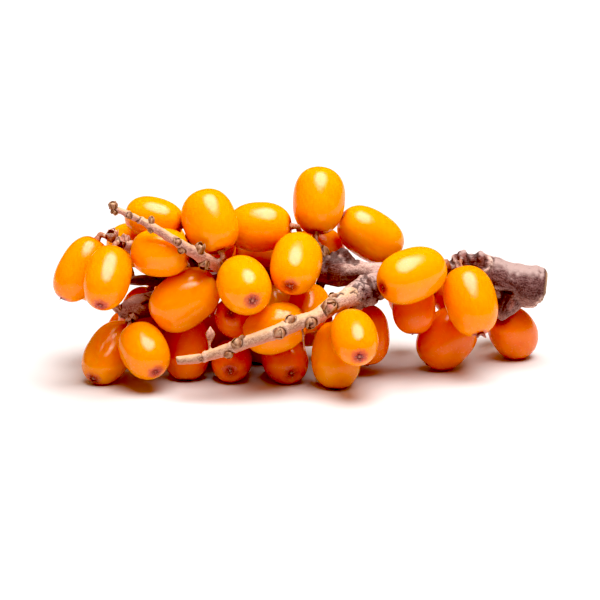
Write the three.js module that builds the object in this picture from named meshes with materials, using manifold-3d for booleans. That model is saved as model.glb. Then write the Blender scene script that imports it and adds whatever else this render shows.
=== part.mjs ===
// A sprig of sea buckthorn as it was cut: a knobbly woody stem, two side shoots with buds, and the berries
// that crowd along them on short stalks. It lies on a surface, on its lowest berries.
// Millimetres, +Z up. The cut end of the stem points to +X and the front is at -Y.
import * as THREE from "three";
import { mergeVertices } from "three/addons/utils/BufferGeometryUtils.js";
import Module from "manifold-3d";

const wasm = await Module();
wasm.setup();

const DEGREE = Math.PI / 180;

// The sprig is set out in a sheet that leans back from the upright: across it, up it, and back from it.
const LEAN_BACK = 15 * DEGREE;
const ACROSS = new THREE.Vector3(1, 0, 0);
const UP = new THREE.Vector3(0, Math.sin(LEAN_BACK), Math.cos(LEAN_BACK));
const BACK = new THREE.Vector3(0, Math.cos(LEAN_BACK), -Math.sin(LEAN_BACK));
const FRONT = BACK.clone().negate();
const SURFACE = new THREE.Vector3(0, 0, 1);
const OWN_AXIS = new THREE.Vector3(0, 1, 0); // the axis that berries and knobs are made along
const SPRIG_MIDDLE = new THREE.Vector3(0.1, 10.8, 0); // this place comes to stand over the origin

// Berries: barrel-shaped, with a little hollow at the stalk and the dried flower at the far end.
const BERRY_FULLNESS = 2.35; // 2 is an ellipse, and more is fuller at the shoulders
const BERRY_SIDES = 12;
const BERRY_RINGS = [-63, -33, 0, 33, 63]; // degrees from the waist to each ring
const STALK_HOLLOW = 0.35;
const FLOWER_TIP = 0.2;
const RESTING_FLAT = 0.15; // how much of a berry's underside is flat where the sprig rests on it
const BERRY_ORANGE = 0xf58a06;

// Room: nothing touches a berry, and the stalks end just short of theirs.
const CLEARANCE = 0.35;
const CROWDING_ROUNDS = 60; // before the stalks are there
const SETTLE_ROUNDS = 100;
const HOMING = 0.04; // how much of the way back to its place a berry moves in each round
const SIDEWAYS_SHARE = 0.25; // how freely a berry gives way across and up, against back
const FIRM_DEPTH = 4; // a berry that lies this much further back gives way 2.7 times as much
const GAP_STEPS = 26;
const GAP_TURN = 0.4;

const STALK_RADIUS = 0.42;
const STALK_SIDES = 5;
const STALK_LEAVE = 0.9; // how far a stalk runs straight out of its berry
const STALK_BEAD = 1.2; // the spacing of the places that a stalk is bent at
const STALK_SPACE = 0.2; // between a stalk and the berries that it passes
const DETOUR = 3; // what a millimetre through a berry costs, in millimetres round it

const WOOD_STEP = 0.7; // between the places where the wood's thickness is felt for
const BARK_BROWN = 0x7a5548;

// The wood's unevenness: each wave's share of it, how often it goes round and along, and its start.
const GNARL_WAVES = [
  { share: 0.6, round: 3, along: 31, start: 0 },
  { share: 0.4, round: 2, along: -53, start: 1 },
];

// Each limb: across, up, back and radius at the places along it.
const LIMBS = {
  stem: {
    sides: 10,
    rows: 36,
    gnarl: 0.1,
    course: [
      [39.5, 16.5, 12.0, 2.2],
      [39.0, 16.55, 12.0, 2.9],
      [37.8, 16.6, 12.0, 3.4],
      [35.6, 16.9, 11.8, 3.3],
      [33.0, 17.5, 11.6, 3.1],
      [30.6, 18.8, 11.2, 2.7],
      [28.6, 19.8, 10.8, 2.1],
      [25.6, 20.0, 10.4, 1.5],
      [22.3, 18.8, 10.0, 1.1],
      [15.9, 18.9, 9.4, 1.4],
      [10.3, 18.9, 8.4, 1.7],
      [6.3, 19.3, 7.6, 2.7],
      [3.4, 19.5, 7.4, 2.4],
      [-1.0, 19.0, 7.5, 1.2],
      [-8.1, 18.5, 7.6, 1.0],
      [-16.1, 18.0, 7.4, 0.95],
      [-22.5, 17.7, 7.0, 1.0],
      [-28.2, 17.6, 6.4, 0.7],
    ],
  },
  upper_shoot: {
    sides: 7,
    rows: 22,
    gnarl: 0.06,
    course: [
      [-5.5, 18.8, 7.6, 1.0],
      [-8.8, 18.7, 5.0, 1.0],
      [-11.8, 19.2, 1.2, 1.0],
      [-13.6, 20.1, -2.2, 0.95],
      [-15.4, 21.1, -5.0, 0.95],
      [-17.6, 22.4, -6.8, 0.85],
      [-20.2, 24.0, -7.6, 0.72],
      [-23.4, 26.0, -7.4, 0.66],
      [-27.0, 27.9, -6.5, 0.52],
      [-30.2, 29.3, -5.6, 0.46],
    ],
  },
  lower_shoot: {
    sides: 8,
    rows: 30,
    gnarl: 0.07,
    course: [
      [13.4, 18.2, 8.8, 1.4],
      [12.4, 16.9, 5.6, 2.0],
      [10.8, 16.0, 2.2, 2.3],
      [9.2, 15.3, -0.4, 2.2],
      [7.4, 14.8, -2.4, 1.5],
      [5.0, 13.6, -4.2, 1.35],
      [2.6, 11.85, -5.8, 1.2],
      [-0.2, 10.95, -7.0, 1.15],
      [-3.7, 9.5, -8.1, 1.1],
      [-7.7, 8.1, -8.7, 1.0],
      [-12.7, 6.3, -8.4, 0.9],
      [-16.5, 5.2, -7.6, 0.75],
      [-19.6, 4.9, -6.8, 0.65],
    ],
  },
  left_twig: {
    sides: 6,
    rows: 10,
    gnarl: 0.06,
    course: [
      [-21.0, 17.7, 7.2, 0.8],
      [-24.6, 20.4, 4.6, 0.8],
      [-27.6, 23.1, 1.8, 0.75],
      [-30.7, 24.5, 0.6, 0.6],
    ],
  },
  left_spur: {
    sides: 7,
    rows: 9,
    gnarl: 0.08,
    course: [
      [-19.6, 17.6, 7.2, 1.0],
      [-21.6, 15.4, 6.6, 1.5],
      [-23.8, 13.9, 5.2, 1.9],
      [-26.4, 13.2, 4.0, 1.95],
      [-28.0, 12.7, 3.4, 1.4],
      [-29.1, 12.2, 3.0, 0.7],
    ],
  },
  top_spur: {
    sides: 6,
    rows: 7,
    gnarl: 0.06,
    course: [
      [1.6, 19.8, 7.5, 0.9],
      [0.8, 22.6, 8.0, 0.8],
      [0.2, 24.6, 8.2, 0.55],
    ],
  },
  hanging_spur: {
    sides: 8,
    rows: 7,
    gnarl: 0.08,
    course: [
      [34.8, 16.4, 11.6, 1.9],
      [33.7, 14.4, 11.6, 2.0],
      [32.6, 12.6, 11.8, 1.3],
      [32.0, 11.4, 12.0, 0.6],
    ],
  },
  back_spur_right: {
    sides: 6,
    rows: 5,
    gnarl: 0.06,
    course: [
      [20.5, 19.2, 9.8, 1.0],
      [21.6, 19.4, 12.0, 0.9],
      [22.4, 19.2, 13.6, 0.6],
    ],
  },
  back_spur_middle: {
    sides: 6,
    rows: 6,
    gnarl: 0.06,
    course: [
      [-1.0, 19.2, 7.5, 0.9],
      [-2.2, 18.6, 11.0, 0.8],
      [-3.4, 16.8, 15.2, 0.6],
    ],
  },
  back_spur_left: {
    sides: 6,
    rows: 6,
    gnarl: 0.06,
    course: [
      [-15.0, 18.0, 7.4, 0.9],
      [-15.8, 17.4, 11.0, 0.8],
      [-16.4, 16.2, 15.4, 0.6],
    ],
  },
  inner_spur_high: {
    sides: 6,
    rows: 6,
    gnarl: 0.06,
    course: [
      [-16.1, 18.0, 7.4, 0.8],
      [-17.4, 21.4, 5.6, 0.7],
      [-18.2, 23.8, 4.2, 0.5],
    ],
  },
  inner_spur_left: {
    sides: 6,
    rows: 6,
    gnarl: 0.06,
    course: [
      [-20.0, 17.8, 7.2, 0.8],
      [-20.6, 14.0, 9.2, 0.7],
      [-21.2, 11.0, 10.4, 0.5],
    ],
  },
  inner_spur_middle: {
    sides: 6,
    rows: 6,
    gnarl: 0.06,
    course: [
      [-8.8, 18.4, 7.6, 0.8],
      [-9.2, 14.6, 9.2, 0.7],
      [-10.0, 11.2, 10.2, 0.5],
    ],
  },
  inner_spur_right: {
    sides: 6,
    rows: 6,
    gnarl: 0.06,
    course: [
      [3.4, 18.6, 7.4, 0.8],
      [2.6, 14.8, 9.4, 0.7],
      [1.6, 11.6, 9.6, 0.5],
    ],
  },
  back_spur_knob: {
    sides: 6,
    rows: 5,
    gnarl: 0.06,
    course: [
      [29.0, 19.2, 10.8, 1.0],
      [30.2, 19.6, 14.0, 0.9],
      [30.8, 19.8, 15.6, 0.6],
    ],
  },
};

// Each knob and bud: its limb, how far along it, degrees round from the top towards the front,
// radius, and how far it stands out for its radius.
const KNOBS = [
  ["stem", 0.206, 22, 1.65, 1.05],
  ["stem", 0.172, 38, 1.6, 0.95],
  ["stem", 0.215, 330, 1.2, 1.0],
  ["stem", 0.11, 150, 1.2, 0.8],
  ["stem", 0.24, 80, 0.9, 1.0],
  ["stem", 0.38, 60, 0.8, 0.8],
  ["stem", 0.495, 10, 1.7, 1.1],
  ["stem", 0.535, 15, 0.9, 1.4],
  ["stem", 0.55, 45, 0.85, 1.2],
  ["stem", 0.45, 190, 1.1, 0.9],
  ["stem", 0.7, 200, 0.8, 0.9],
  ["stem", 0.86, 300, 0.7, 0.9],
  ["lower_shoot", 0.2, 30, 1.3, 0.9],
  ["lower_shoot", 0.26, 200, 1.1, 0.9],
  ["lower_shoot", 0.4, 85, 1.15, 1.0],
  ["lower_shoot", 0.365, 25, 0.6, 1.2],
  ["lower_shoot", 0.49, 130, 0.9, 1.0],
  ["lower_shoot", 0.555, 25, 0.85, 0.9],
  ["lower_shoot", 0.618, 115, 0.9, 0.9],
  ["lower_shoot", 0.765, 60, 0.8, 1.0],
  ["lower_shoot", 0.745, 5, 0.6, 1.0],
  ["lower_shoot", 0.81, 165, 0.75, 1.0],
  ["lower_shoot", 0.905, 70, 0.6, 0.9],
  ["upper_shoot", 0.475, 150, 0.75, 1.2],
  ["upper_shoot", 0.53, 15, 0.75, 1.4],
  ["upper_shoot", 0.605, 165, 0.6, 1.1],
  ["upper_shoot", 0.645, 75, 0.6, 0.9],
  ["upper_shoot", 0.774, 175, 0.45, 1.1],
  ["upper_shoot", 0.795, 10, 0.45, 1.8],
  ["upper_shoot", 0.895, 110, 0.45, 1.0],
  ["upper_shoot", 0.965, 185, 0.45, 1.2],
  ["upper_shoot", 0.985, 40, 0.6, 1.1],
  ["left_twig", 0.72, 40, 0.85, 1.0],
  ["left_twig", 0.86, 100, 0.85, 1.1],
  ["left_twig", 0.97, 50, 0.75, 1.2],
  ["left_spur", 0.5, 40, 0.8, 0.9],
  ["left_spur", 0.86, 150, 0.75, 1.1],
  ["top_spur", 0.8, 300, 0.5, 1.2],
];
const KNOB_SIDES = 6;
const KNOB_ROWS = 4;
const KNOB_SUNK = 0.3; // of its radius, below the bark
const KNOB_LEAN = 0.35; // towards the tip, for each millimetre that it stands out
const MERGE_WITHIN = 1e-4;

// Each berry: the place of its middle, its length and width, and where its flower end points.
// `swing` is degrees round from straight down towards the cut end, and `face` is degrees to the front.
const BERRIES = [
  { at: [-35.2, 19.4, 1.2], long: 11.2, wide: 7.1, swing: -30, face: 8 },
  { at: [-30.3, 18.1, -5.6], long: 11.3, wide: 7.4, swing: -12, face: 36 },
  { at: [-23.4, 27.0, 1.4], long: 9.6, wide: 6.8, swing: -103, face: -10 },
  { at: [-14.7, 26.1, -1.6], long: 10.6, wide: 8.6, swing: -160, face: -14 },
  { at: [-6.4, 25.9, 3.6], long: 10.4, wide: 8.0, swing: -88, face: -8 },
  { at: [2.8, 30.4, 7.4], long: 11.0, wide: 8.3, swing: 176, face: -14 },
  { at: [11.2, 25.0, 12.2], long: 11.4, wide: 8.1, swing: -122, face: 14 },
  { at: [17.4, 18.3, 0.2], long: 12.0, wide: 8.5, swing: -68, face: 30 },
  { at: [27.1, 14.3, 3.8], long: 11.6, wide: 8.4, swing: 16, face: 18 },
  { at: [18.1, 13.6, 6.4], long: 9.0, wide: 6.9, swing: 0, face: 4 },
  { at: [23.5, 8.4, 12.0], long: 10.4, wide: 8.7, swing: -40, face: 0, rests: true },
  { at: [34.2, 9.2, 16.9], long: 9.6, wide: 7.7, swing: 36, face: -44, rests: true },
  { at: [25.8, 14.8, 15.6], long: 8.8, wide: 7.0, swing: 84, face: 0 },
  { at: [-8.9, 16.8, -5.8], long: 11.2, wide: 8.5, swing: 29, face: 60 },
  { at: [-0.9, 20.3, -1.9], long: 11.4, wide: 8.1, swing: -14, face: 48 },
  { at: [-22.4, 21.6, -3.6], long: 9.4, wide: 7.8, swing: -90, face: -8 },
  { at: [-18.7, 15.3, -0.6], long: 12.0, wide: 8.8, swing: -55, face: 4 },
  { at: [-30.6, 6.7, 4.6], long: 11.6, wide: 7.4, swing: -30, face: 32, rests: true },
  { at: [-24.9, 6.4, -1.4], long: 9.9, wide: 7.7, swing: 30, face: 38 },
  { at: [-18.1, 7.0, 6.4], long: 10.4, wide: 7.7, swing: 0, face: 6, rests: true },
  { at: [-10.9, 4.9, 6.0], long: 9.2, wide: 6.4, swing: -8, face: 70, rests: true },
  { at: [-11.5, 11.4, 3.2], long: 9.4, wide: 6.8, swing: -127, face: 76 },
  { at: [-3.8, 10.2, -1.2], long: 10.2, wide: 7.9, swing: -70, face: 2 },
  { at: [-2.6, 5.4, 5.2], long: 10.0, wide: 7.3, swing: 24, face: 56, rests: true },
  { at: [5.5, 5.6, 1.2], long: 10.9, wide: 8.0, swing: -3, face: 2, rests: true },
  { at: [8.3, 8.6, -7.0], long: 10.8, wide: 7.4, swing: 16, face: 54 },
  { at: [10.3, 8.9, 6.6], long: 9.9, wide: 7.4, swing: 4, face: 0 },
  { at: [1.7, 14.4, 3.8], long: 8.6, wide: 6.8, swing: -20, face: 44 },
  { at: [-3.2, 13.8, 9.2], long: 8.6, wide: 6.6, swing: 10, face: 20 },
  { at: [-25.8, 12.2, 11.2], long: 8.8, wide: 7.0, swing: -20, face: -10 },
  { at: [-27.0, 23.2, 8.0], long: 8.6, wide: 7.0, swing: -100, face: -20 },
  { at: [1.0, 21.2, 15.2], long: 9.8, wide: 7.8, swing: 110, face: -30 },
  { at: [-14.6, 9.2, 12.2], long: 9.4, wide: 7.2, swing: 20, face: -20 },
  { at: [-6.8, 7.0, 13.0], long: 9.4, wide: 7.4, swing: 30, face: -10, rests: true },
  { at: [-32.2, 18.6, 11.6], long: 9.6, wide: 7.2, swing: -75, face: -20 },
  { at: [-22.0, 23.2, 14.8], long: 10.2, wide: 7.8, swing: -150, face: -30 },
  { at: [-13.6, 24.0, 12.4], long: 10.4, wide: 8.0, swing: 165, face: -36 },
  { at: [-6.2, 23.0, 14.4], long: 10.0, wide: 7.8, swing: 170, face: -30 },
  { at: [-26.4, 8.9, 17.4], long: 10.2, wide: 7.8, swing: -75, face: -20 },
  { at: [-17.6, 9.4, 19.6], long: 10.4, wide: 8.2, swing: -10, face: -20, rests: true },
  { at: [-8.4, 9.8, 21.6], long: 10.8, wide: 8.2, swing: 12, face: -24, rests: true },
  { at: [1.0, 12.0, 15.0], long: 10.0, wide: 7.8, swing: 8, face: -14 },
  { at: [9.2, 8.9, 16.4], long: 10.2, wide: 7.8, swing: 14, face: -40, rests: true },
  { at: [-20.6, 18.2, 19.4], long: 10.4, wide: 8.0, swing: -30, face: -50 },
  { at: [-11.6, 19.0, 20.4], long: 10.6, wide: 8.2, swing: 20, face: -62 },
  { at: [-3.2, 17.8, 21.0], long: 10.4, wide: 8.0, swing: 10, face: -46 },
  { at: [18.2, 15.8, 17.4], long: 9.0, wide: 6.6, swing: -8, face: -24 },
  { at: [31.2, 16.2, 20.8], long: 9.6, wide: 7.6, swing: 8, face: -60 },
];

// A place or a direction in the leaning sheet, as a vector.
function inSheet(across, up, back) {
  return new THREE.Vector3()
    .addScaledVector(ACROSS, across)
    .addScaledVector(UP, up)
    .addScaledVector(BACK, back);
}

function pointing(swing, face) {
  const level = Math.cos(face * DEGREE);
  return inSheet(
    Math.sin(swing * DEGREE) * level,
    -Math.cos(swing * DEGREE) * level,
    -Math.sin(face * DEGREE),
  );
}

// A barrel-shaped berry, with the axis towards its flower end.
class Berry {
  constructor({ at, long, wide, swing, face, rests = false }) {
    this.home = inSheet(...at);
    this.middle = this.home.clone();
    this.axis = pointing(swing, face);
    this.half = long / 2;
    this.radius = wide / 2;
    this.rests = rests;
    this.yielding = Math.exp(at[2] / FIRM_DEPTH);
  }

  // The furthest point of the skin in a direction, measured from the middle.
  reach(towards) {
    const power = BERRY_FULLNESS / (BERRY_FULLNESS - 1);
    const along = towards.dot(this.axis);
    const out = towards.clone().addScaledVector(this.axis, -along);
    const level = out.length();
    const tall = (this.half * Math.abs(along)) ** power;
    const broad = (this.radius * level) ** power;
    const height = (tall + broad) ** (1 / power);
    const end = this.half * ((this.half * Math.abs(along)) / height) ** (power - 1);
    const side = this.radius * ((this.radius * level) / height) ** (power - 1);
    return out
      .multiplyScalar(level > 0 ? side / level : 0)
      .addScaledVector(this.axis, Math.sign(along) * end);
  }
}

// A ball of wood or stalk, with the same calls as a berry.
class Ball {
  constructor(middle, radius) {
    this.middle = middle;
    this.radius = radius;
    this.half = radius;
  }

  reach(towards) {
    return towards.clone().multiplyScalar(this.radius);
  }
}

// The clear way between two round bodies, below zero where they overlap, and the direction across it.
function gapBetween(a, b) {
  const between = b.middle.clone().sub(a.middle);
  const size = between.length();
  const best = { distance: size - a.half - a.radius - b.half - b.radius, across: between };
  const across = between.clone().normalize();
  if (size > a.half + b.half + 2 * CLEARANCE) return { distance: size, across };
  for (let step = 0; step < GAP_STEPS; step += 1) {
    const open = between.clone().add(b.reach(across.clone().negate())).sub(a.reach(across));
    const distance = open.dot(across);
    if (distance > best.distance) {
      best.distance = distance;
      best.across = across.clone();
    }
    const slip = open.addScaledVector(across, -distance);
    across.addScaledVector(slip, GAP_TURN / size).normalize();
  }
  return best;
}

function limbPath(limb) {
  return new THREE.CatmullRomCurve3(limb.course.map(([x, up, back]) => inSheet(x, up, back)));
}

function limbRadius(limb, path, share) {
  const place = path.getUtoTmapping(share) * (limb.course.length - 1);
  const before = Math.min(Math.floor(place), limb.course.length - 2);
  return THREE.MathUtils.lerp(
    limb.course[before][3],
    limb.course[before + 1][3],
    place - before,
  );
}

// Balls along a limb that fill it, for keeping berries and stalks off the wood.
function limbBalls(limb) {
  const path = limbPath(limb);
  const steps = Math.ceil(path.getLength() / WOOD_STEP);
  return Array.from({ length: steps + 1 }, (_, step) => {
    const share = step / steps;
    return new Ball(path.getPointAt(share), limbRadius(limb, path, share) * (1 + limb.gnarl));
  });
}

// Where a knob or bud grows: its root on the limb's skin, and which way it stands out.
function knobRoot([name, share, turn, radius]) {
  const limb = LIMBS[name];
  const path = limbPath(limb);
  const along = path.getTangentAt(share);
  const front = FRONT.clone().addScaledVector(along, -FRONT.dot(along)).normalize();
  const top = new THREE.Vector3().crossVectors(along, front);
  if (top.dot(UP) < 0) top.negate();
  const out = top
    .multiplyScalar(Math.cos(turn * DEGREE))
    .addScaledVector(front, Math.sin(turn * DEGREE));
  const deep = limbRadius(limb, path, share) - KNOB_SUNK * radius;
  return { root: path.getPointAt(share).addScaledVector(out, deep), out, along };
}

function knobBalls() {
  return KNOBS.map((knob) => {
    const { root, out } = knobRoot(knob);
    const [, , , radius, stretch] = knob;
    return new Ball(root.addScaledVector(out, ((stretch - 1) * radius) / 2), radius);
  });
}

// How a berry gives way to a push: mostly back or front, and along the surface if it rests there.
function givenWay(berry, push) {
  const easy = berry.rests ? new THREE.Vector3(0, 1, 0) : BACK;
  const free = push
    .clone()
    .multiplyScalar(SIDEWAYS_SHARE)
    .addScaledVector(easy, (1 - SIDEWAYS_SHARE) * push.dot(easy));
  if (berry.rests) free.z = 0;
  return free;
}

// Moves berry `b`, and `a` too if it is one, until they have room between them.
function makeRoom(a, b, room) {
  const { distance, across } = gapBetween(a, b);
  if (distance >= room) return;
  const shareA = a instanceof Berry ? a.yielding / (a.yielding + b.yielding) : 0;
  const moveB = givenWay(b, across).multiplyScalar(1 - shareA);
  const moveA = shareA > 0 ? givenWay(a, across).multiplyScalar(shareA) : new THREE.Vector3();
  const opened = moveA.dot(across) + moveB.dot(across);
  const scale = (room - distance) / Math.max(opened, SIDEWAYS_SHARE / 2);
  a.middle.addScaledVector(moveA, -scale);
  b.middle.addScaledVector(moveB, scale);
}

// Stands a resting berry on the surface, and lifts any other off it.
function clearFloor(berry) {
  const level = -berry.reach(SURFACE.clone().negate()).z;
  if (berry.rests) berry.middle.z = level - RESTING_FLAT;
  else berry.middle.z = Math.max(berry.middle.z, level);
}

// Eases the berries apart, off the wood and off each other's stalks.
function settle(berries, wood, stalks, rounds) {
  for (let round = 0; round < rounds; round += 1) {
    const homing = HOMING * (1 - round / rounds);
    stalks.forEach((stalk) => stalk.ease(berries));
    berries.forEach((berry, i) => {
      berry.middle.lerp(berry.home, homing);
      berries.slice(i + 1).forEach((other) => makeRoom(berry, other, CLEARANCE));
      wood.forEach((ball) => makeRoom(ball, berry, CLEARANCE));
      stalks.forEach((stalk) => stalk.pushAside(berry));
      clearFloor(berry);
    });
  }
}

// A stalk from its berry to the wood, as beads on a thread that is drawn tight round what it meets.
class Stalk {
  constructor(berry, berries, wood) {
    this.berry = berry;
    const leave = this.leaving()[1];
    const cost = (ball) => {
      const steps = Math.ceil(ball.middle.distanceTo(leave) / STALK_BEAD);
      let total = ball.middle.distanceTo(leave) - ball.radius;
      for (let step = 1; step < steps; step += 1) {
        const bead = new Ball(leave.clone().lerp(ball.middle, step / steps), STALK_RADIUS);
        berries.forEach((other) => {
          total += DETOUR * Math.max(0, STALK_SPACE - gapBetween(bead, other).distance);
        });
      }
      return total;
    };
    this.root = wood
      .map((ball) => ({ ball, cost: cost(ball) }))
      .reduce((best, next) => (next.cost < best.cost ? next : best)).ball.middle;
    const beads = Math.max(2, Math.round(this.root.distanceTo(leave) / STALK_BEAD));
    this.beads = Array.from({ length: beads - 1 }, (_, i) =>
      new Ball(leave.clone().lerp(this.root, (i + 1) / beads), STALK_RADIUS),
    );
  }

  // The end of the stalk in the berry's hollow, and the place where it is first free to bend.
  leaving() {
    const { middle, axis, half } = this.berry;
    const end = middle.clone().addScaledVector(axis, STALK_HOLLOW - half - CLEARANCE);
    return [end, end.clone().addScaledVector(axis, -STALK_LEAVE)];
  }

  places() {
    return [...this.leaving(), ...this.beads.map((bead) => bead.middle), this.root];
  }

  ease(berries) {
    const places = this.places();
    this.beads.forEach((bead, i) => {
      bead.middle = places[i + 1].clone().add(places[i + 3]).multiplyScalar(0.5);
      berries.forEach((berry) => {
        const { distance, across } = gapBetween(berry, bead);
        if (distance < STALK_SPACE) bead.middle.addScaledVector(across, STALK_SPACE - distance);
      });
    });
  }

  pushAside(berry) {
    if (berry === this.berry) return;
    const ball = new Ball(this.leaving()[1], STALK_RADIUS);
    [ball, ...this.beads].forEach((bead) => makeRoom(bead, berry, STALK_SPACE));
  }

  path() {
    return new THREE.CatmullRomCurve3(this.places());
  }
}

// A closed surface as a solid that can be joined and cut.
function solidOf(geometry) {
  const surface = geometry.clone();
  surface.deleteAttribute("normal");
  surface.deleteAttribute("uv");
  const merged = mergeVertices(surface, MERGE_WITHIN);
  const mesh = new wasm.Mesh({
    numProp: 3,
    vertProperties: merged.attributes.position.array,
    triVerts: new Uint32Array(merged.index.array),
  });
  return new wasm.Manifold(mesh);
}

function geometryOf(solid) {
  const mesh = solid.getMesh();
  const geometry = new THREE.BufferGeometry();
  geometry.setAttribute("position", new THREE.BufferAttribute(mesh.vertProperties, 3));
  geometry.setIndex(new THREE.BufferAttribute(mesh.triVerts, 1));
  geometry.computeVertexNormals();
  return geometry;
}

// A cylinder bent along a path, with its own radius at each share of the way and angle round.
function bentRod(path, sides, rows, radiusAt) {
  const frames = path.computeFrenetFrames(rows);
  const geometry = new THREE.CylinderGeometry(1, 1, 1, sides, rows);
  const position = geometry.attributes.position;
  const corner = new THREE.Vector3();
  for (let i = 0; i < position.count; i += 1) {
    corner.fromBufferAttribute(position, i);
    const row = Math.round((corner.y + 0.5) * rows);
    const share = row / rows;
    const radius = radiusAt(share, Math.atan2(corner.z, corner.x));
    const place = path
      .getPointAt(share)
      .addScaledVector(frames.normals[row], corner.x * radius)
      .addScaledVector(frames.binormals[row], -corner.z * radius);
    position.setXYZ(i, place.x, place.y, place.z);
  }
  return geometry;
}

// A limb of wood, uneven all round.
function limbSolid(limb) {
  const path = limbPath(limb);
  const radiusAt = (share, angle) => {
    const waves = GNARL_WAVES.map(
      (wave) => wave.share * Math.sin(wave.round * angle + wave.along * share + wave.start),
    );
    const uneven = waves.reduce((sum, wave) => sum + wave);
    return limbRadius(limb, path, share) * (1 + limb.gnarl * uneven);
  };
  return solidOf(bentRod(path, limb.sides, limb.rows, radiusAt));
}

function knobSolid(knob) {
  const [, , , radius, stretch] = knob;
  const { root, out, along } = knobRoot(knob);
  const lean = out.clone().addScaledVector(along, KNOB_LEAN).normalize();
  const geometry = new THREE.SphereGeometry(radius, KNOB_SIDES, KNOB_ROWS);
  geometry.scale(1, stretch, 1);
  geometry.applyQuaternion(new THREE.Quaternion().setFromUnitVectors(OWN_AXIS, lean));
  geometry.translate(root.x, root.y, root.z);
  return solidOf(geometry);
}

function stalkSolid(stalk) {
  const path = stalk.path();
  const rows = Math.ceil(path.getLength() / STALK_BEAD);
  return solidOf(bentRod(path, STALK_SIDES, rows, () => STALK_RADIUS));
}

function berryGeometry(berry) {
  const ring = (degrees) => {
    const power = 2 / BERRY_FULLNESS;
    const out = Math.cos(degrees * DEGREE) ** power * berry.radius;
    const up = Math.sign(degrees) * Math.abs(Math.sin(degrees * DEGREE)) ** power * berry.half;
    return new THREE.Vector2(out, up);
  };
  const outline = [
    new THREE.Vector2(0, STALK_HOLLOW - berry.half),
    ...BERRY_RINGS.map(ring),
    new THREE.Vector2(0, berry.half + FLOWER_TIP),
  ];
  return new THREE.LatheGeometry(outline, BERRY_SIDES);
}

// Cuts a berry flat where it dips below the surface, with a cube larger than the berry.
function cutFlat(mesh, size) {
  mesh.updateMatrix();
  const below = new THREE.BoxGeometry(size, size, size);
  below.translate(mesh.position.x, mesh.position.y, -size / 2);
  below.applyMatrix4(mesh.matrix.clone().invert());
  mesh.geometry = geometryOf(solidOf(mesh.geometry).subtract(solidOf(below)));
}

function berryMesh(berry, name) {
  const skin = new THREE.MeshStandardMaterial({ color: BERRY_ORANGE, roughness: 0.3, metalness: 0 });
  const mesh = new THREE.Mesh(berryGeometry(berry), skin);
  mesh.name = name;
  mesh.position.copy(berry.middle);
  mesh.quaternion.setFromUnitVectors(OWN_AXIS, berry.axis);
  if (berry.rests) cutFlat(mesh, 4 * berry.half);
  return mesh;
}

function branchMesh(stalks) {
  const pieces = [
    ...Object.values(LIMBS).map(limbSolid),
    ...KNOBS.map(knobSolid),
    ...stalks.map(stalkSolid),
  ];
  const joined = pieces.reduce((whole, piece) => whole.add(piece));
  const bark = new THREE.MeshStandardMaterial({ color: BARK_BROWN, roughness: 0.85, metalness: 0 });
  const mesh = new THREE.Mesh(geometryOf(joined), bark);
  mesh.name = "branch";
  return mesh;
}

const wood = [...Object.values(LIMBS).flatMap(limbBalls), ...knobBalls()];
const berries = BERRIES.map((sizes) => new Berry(sizes));
settle(berries, wood, [], CROWDING_ROUNDS);
const stalks = berries.map((berry) => new Stalk(berry, berries, wood));
settle(berries, wood, stalks, SETTLE_ROUNDS);

const sprig = new THREE.Group();
sprig.add(branchMesh(stalks));
berries.forEach((berry, i) => {
  sprig.add(berryMesh(berry, "berry_" + String(i + 1).padStart(2, "0")));
});
sprig.position.copy(SPRIG_MIDDLE).negate();

export default sprig;
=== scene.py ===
"""A sprig of sea buckthorn on a pale floor: bark, buds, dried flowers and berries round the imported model.

The sprig lies on its lowest berries, with the cut end of its stem to the right.
"""

import itertools
import logging
import math
from dataclasses import dataclass, field, replace
from enum import Enum

import bpy
import numpy as np
from mathutils import Matrix, Vector

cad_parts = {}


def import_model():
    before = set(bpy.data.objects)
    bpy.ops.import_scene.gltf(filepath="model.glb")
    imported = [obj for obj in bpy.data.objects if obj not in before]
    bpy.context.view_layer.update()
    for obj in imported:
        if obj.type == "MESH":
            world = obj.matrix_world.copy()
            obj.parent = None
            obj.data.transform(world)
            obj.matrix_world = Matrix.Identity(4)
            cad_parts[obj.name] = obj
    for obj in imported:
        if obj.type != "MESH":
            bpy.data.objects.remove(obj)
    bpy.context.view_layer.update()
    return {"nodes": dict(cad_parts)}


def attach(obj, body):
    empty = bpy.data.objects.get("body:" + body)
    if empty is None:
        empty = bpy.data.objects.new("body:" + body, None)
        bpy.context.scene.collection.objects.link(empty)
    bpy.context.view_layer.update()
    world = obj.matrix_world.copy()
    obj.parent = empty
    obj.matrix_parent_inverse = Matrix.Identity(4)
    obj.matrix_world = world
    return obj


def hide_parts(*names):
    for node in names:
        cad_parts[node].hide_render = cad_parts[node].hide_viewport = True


LOG = logging.getLogger("sprig")

BODY = "root"
MM = 0.001  # a millimetre, in Blender's metres
SKIN_IOR = 1.45  # how strongly fruit skin and bark bend light

LEAN_BACK = math.radians(15)  # the sheet that the sprig is set out in leans back from the upright
SHEET_AXES = np.array(
    [
        [1.0, 0.0, 0.0],
        [0.0, math.sin(LEAN_BACK), math.cos(LEAN_BACK)],
        [0.0, math.cos(LEAN_BACK), -math.sin(LEAN_BACK)],
    ]
)
SPRIG_MIDDLE = np.array([0.1, 10.8, 0.0])  # this place stands over the origin

Triple = tuple[float, float, float]
Pair = tuple[float, float]
Colour = Triple
Faces = list[tuple[int, ...]]
Course = tuple[tuple[float, float, float, float], ...]
NodeSocket = bpy.types.NodeSocket


def in_sheet(across: float, up: float, back: float) -> np.ndarray:
    """A place in the leaning sheet as one in the frame, both in millimetres."""
    return np.array([across, up, back]) @ SHEET_AXES - SPRIG_MIDDLE


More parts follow.
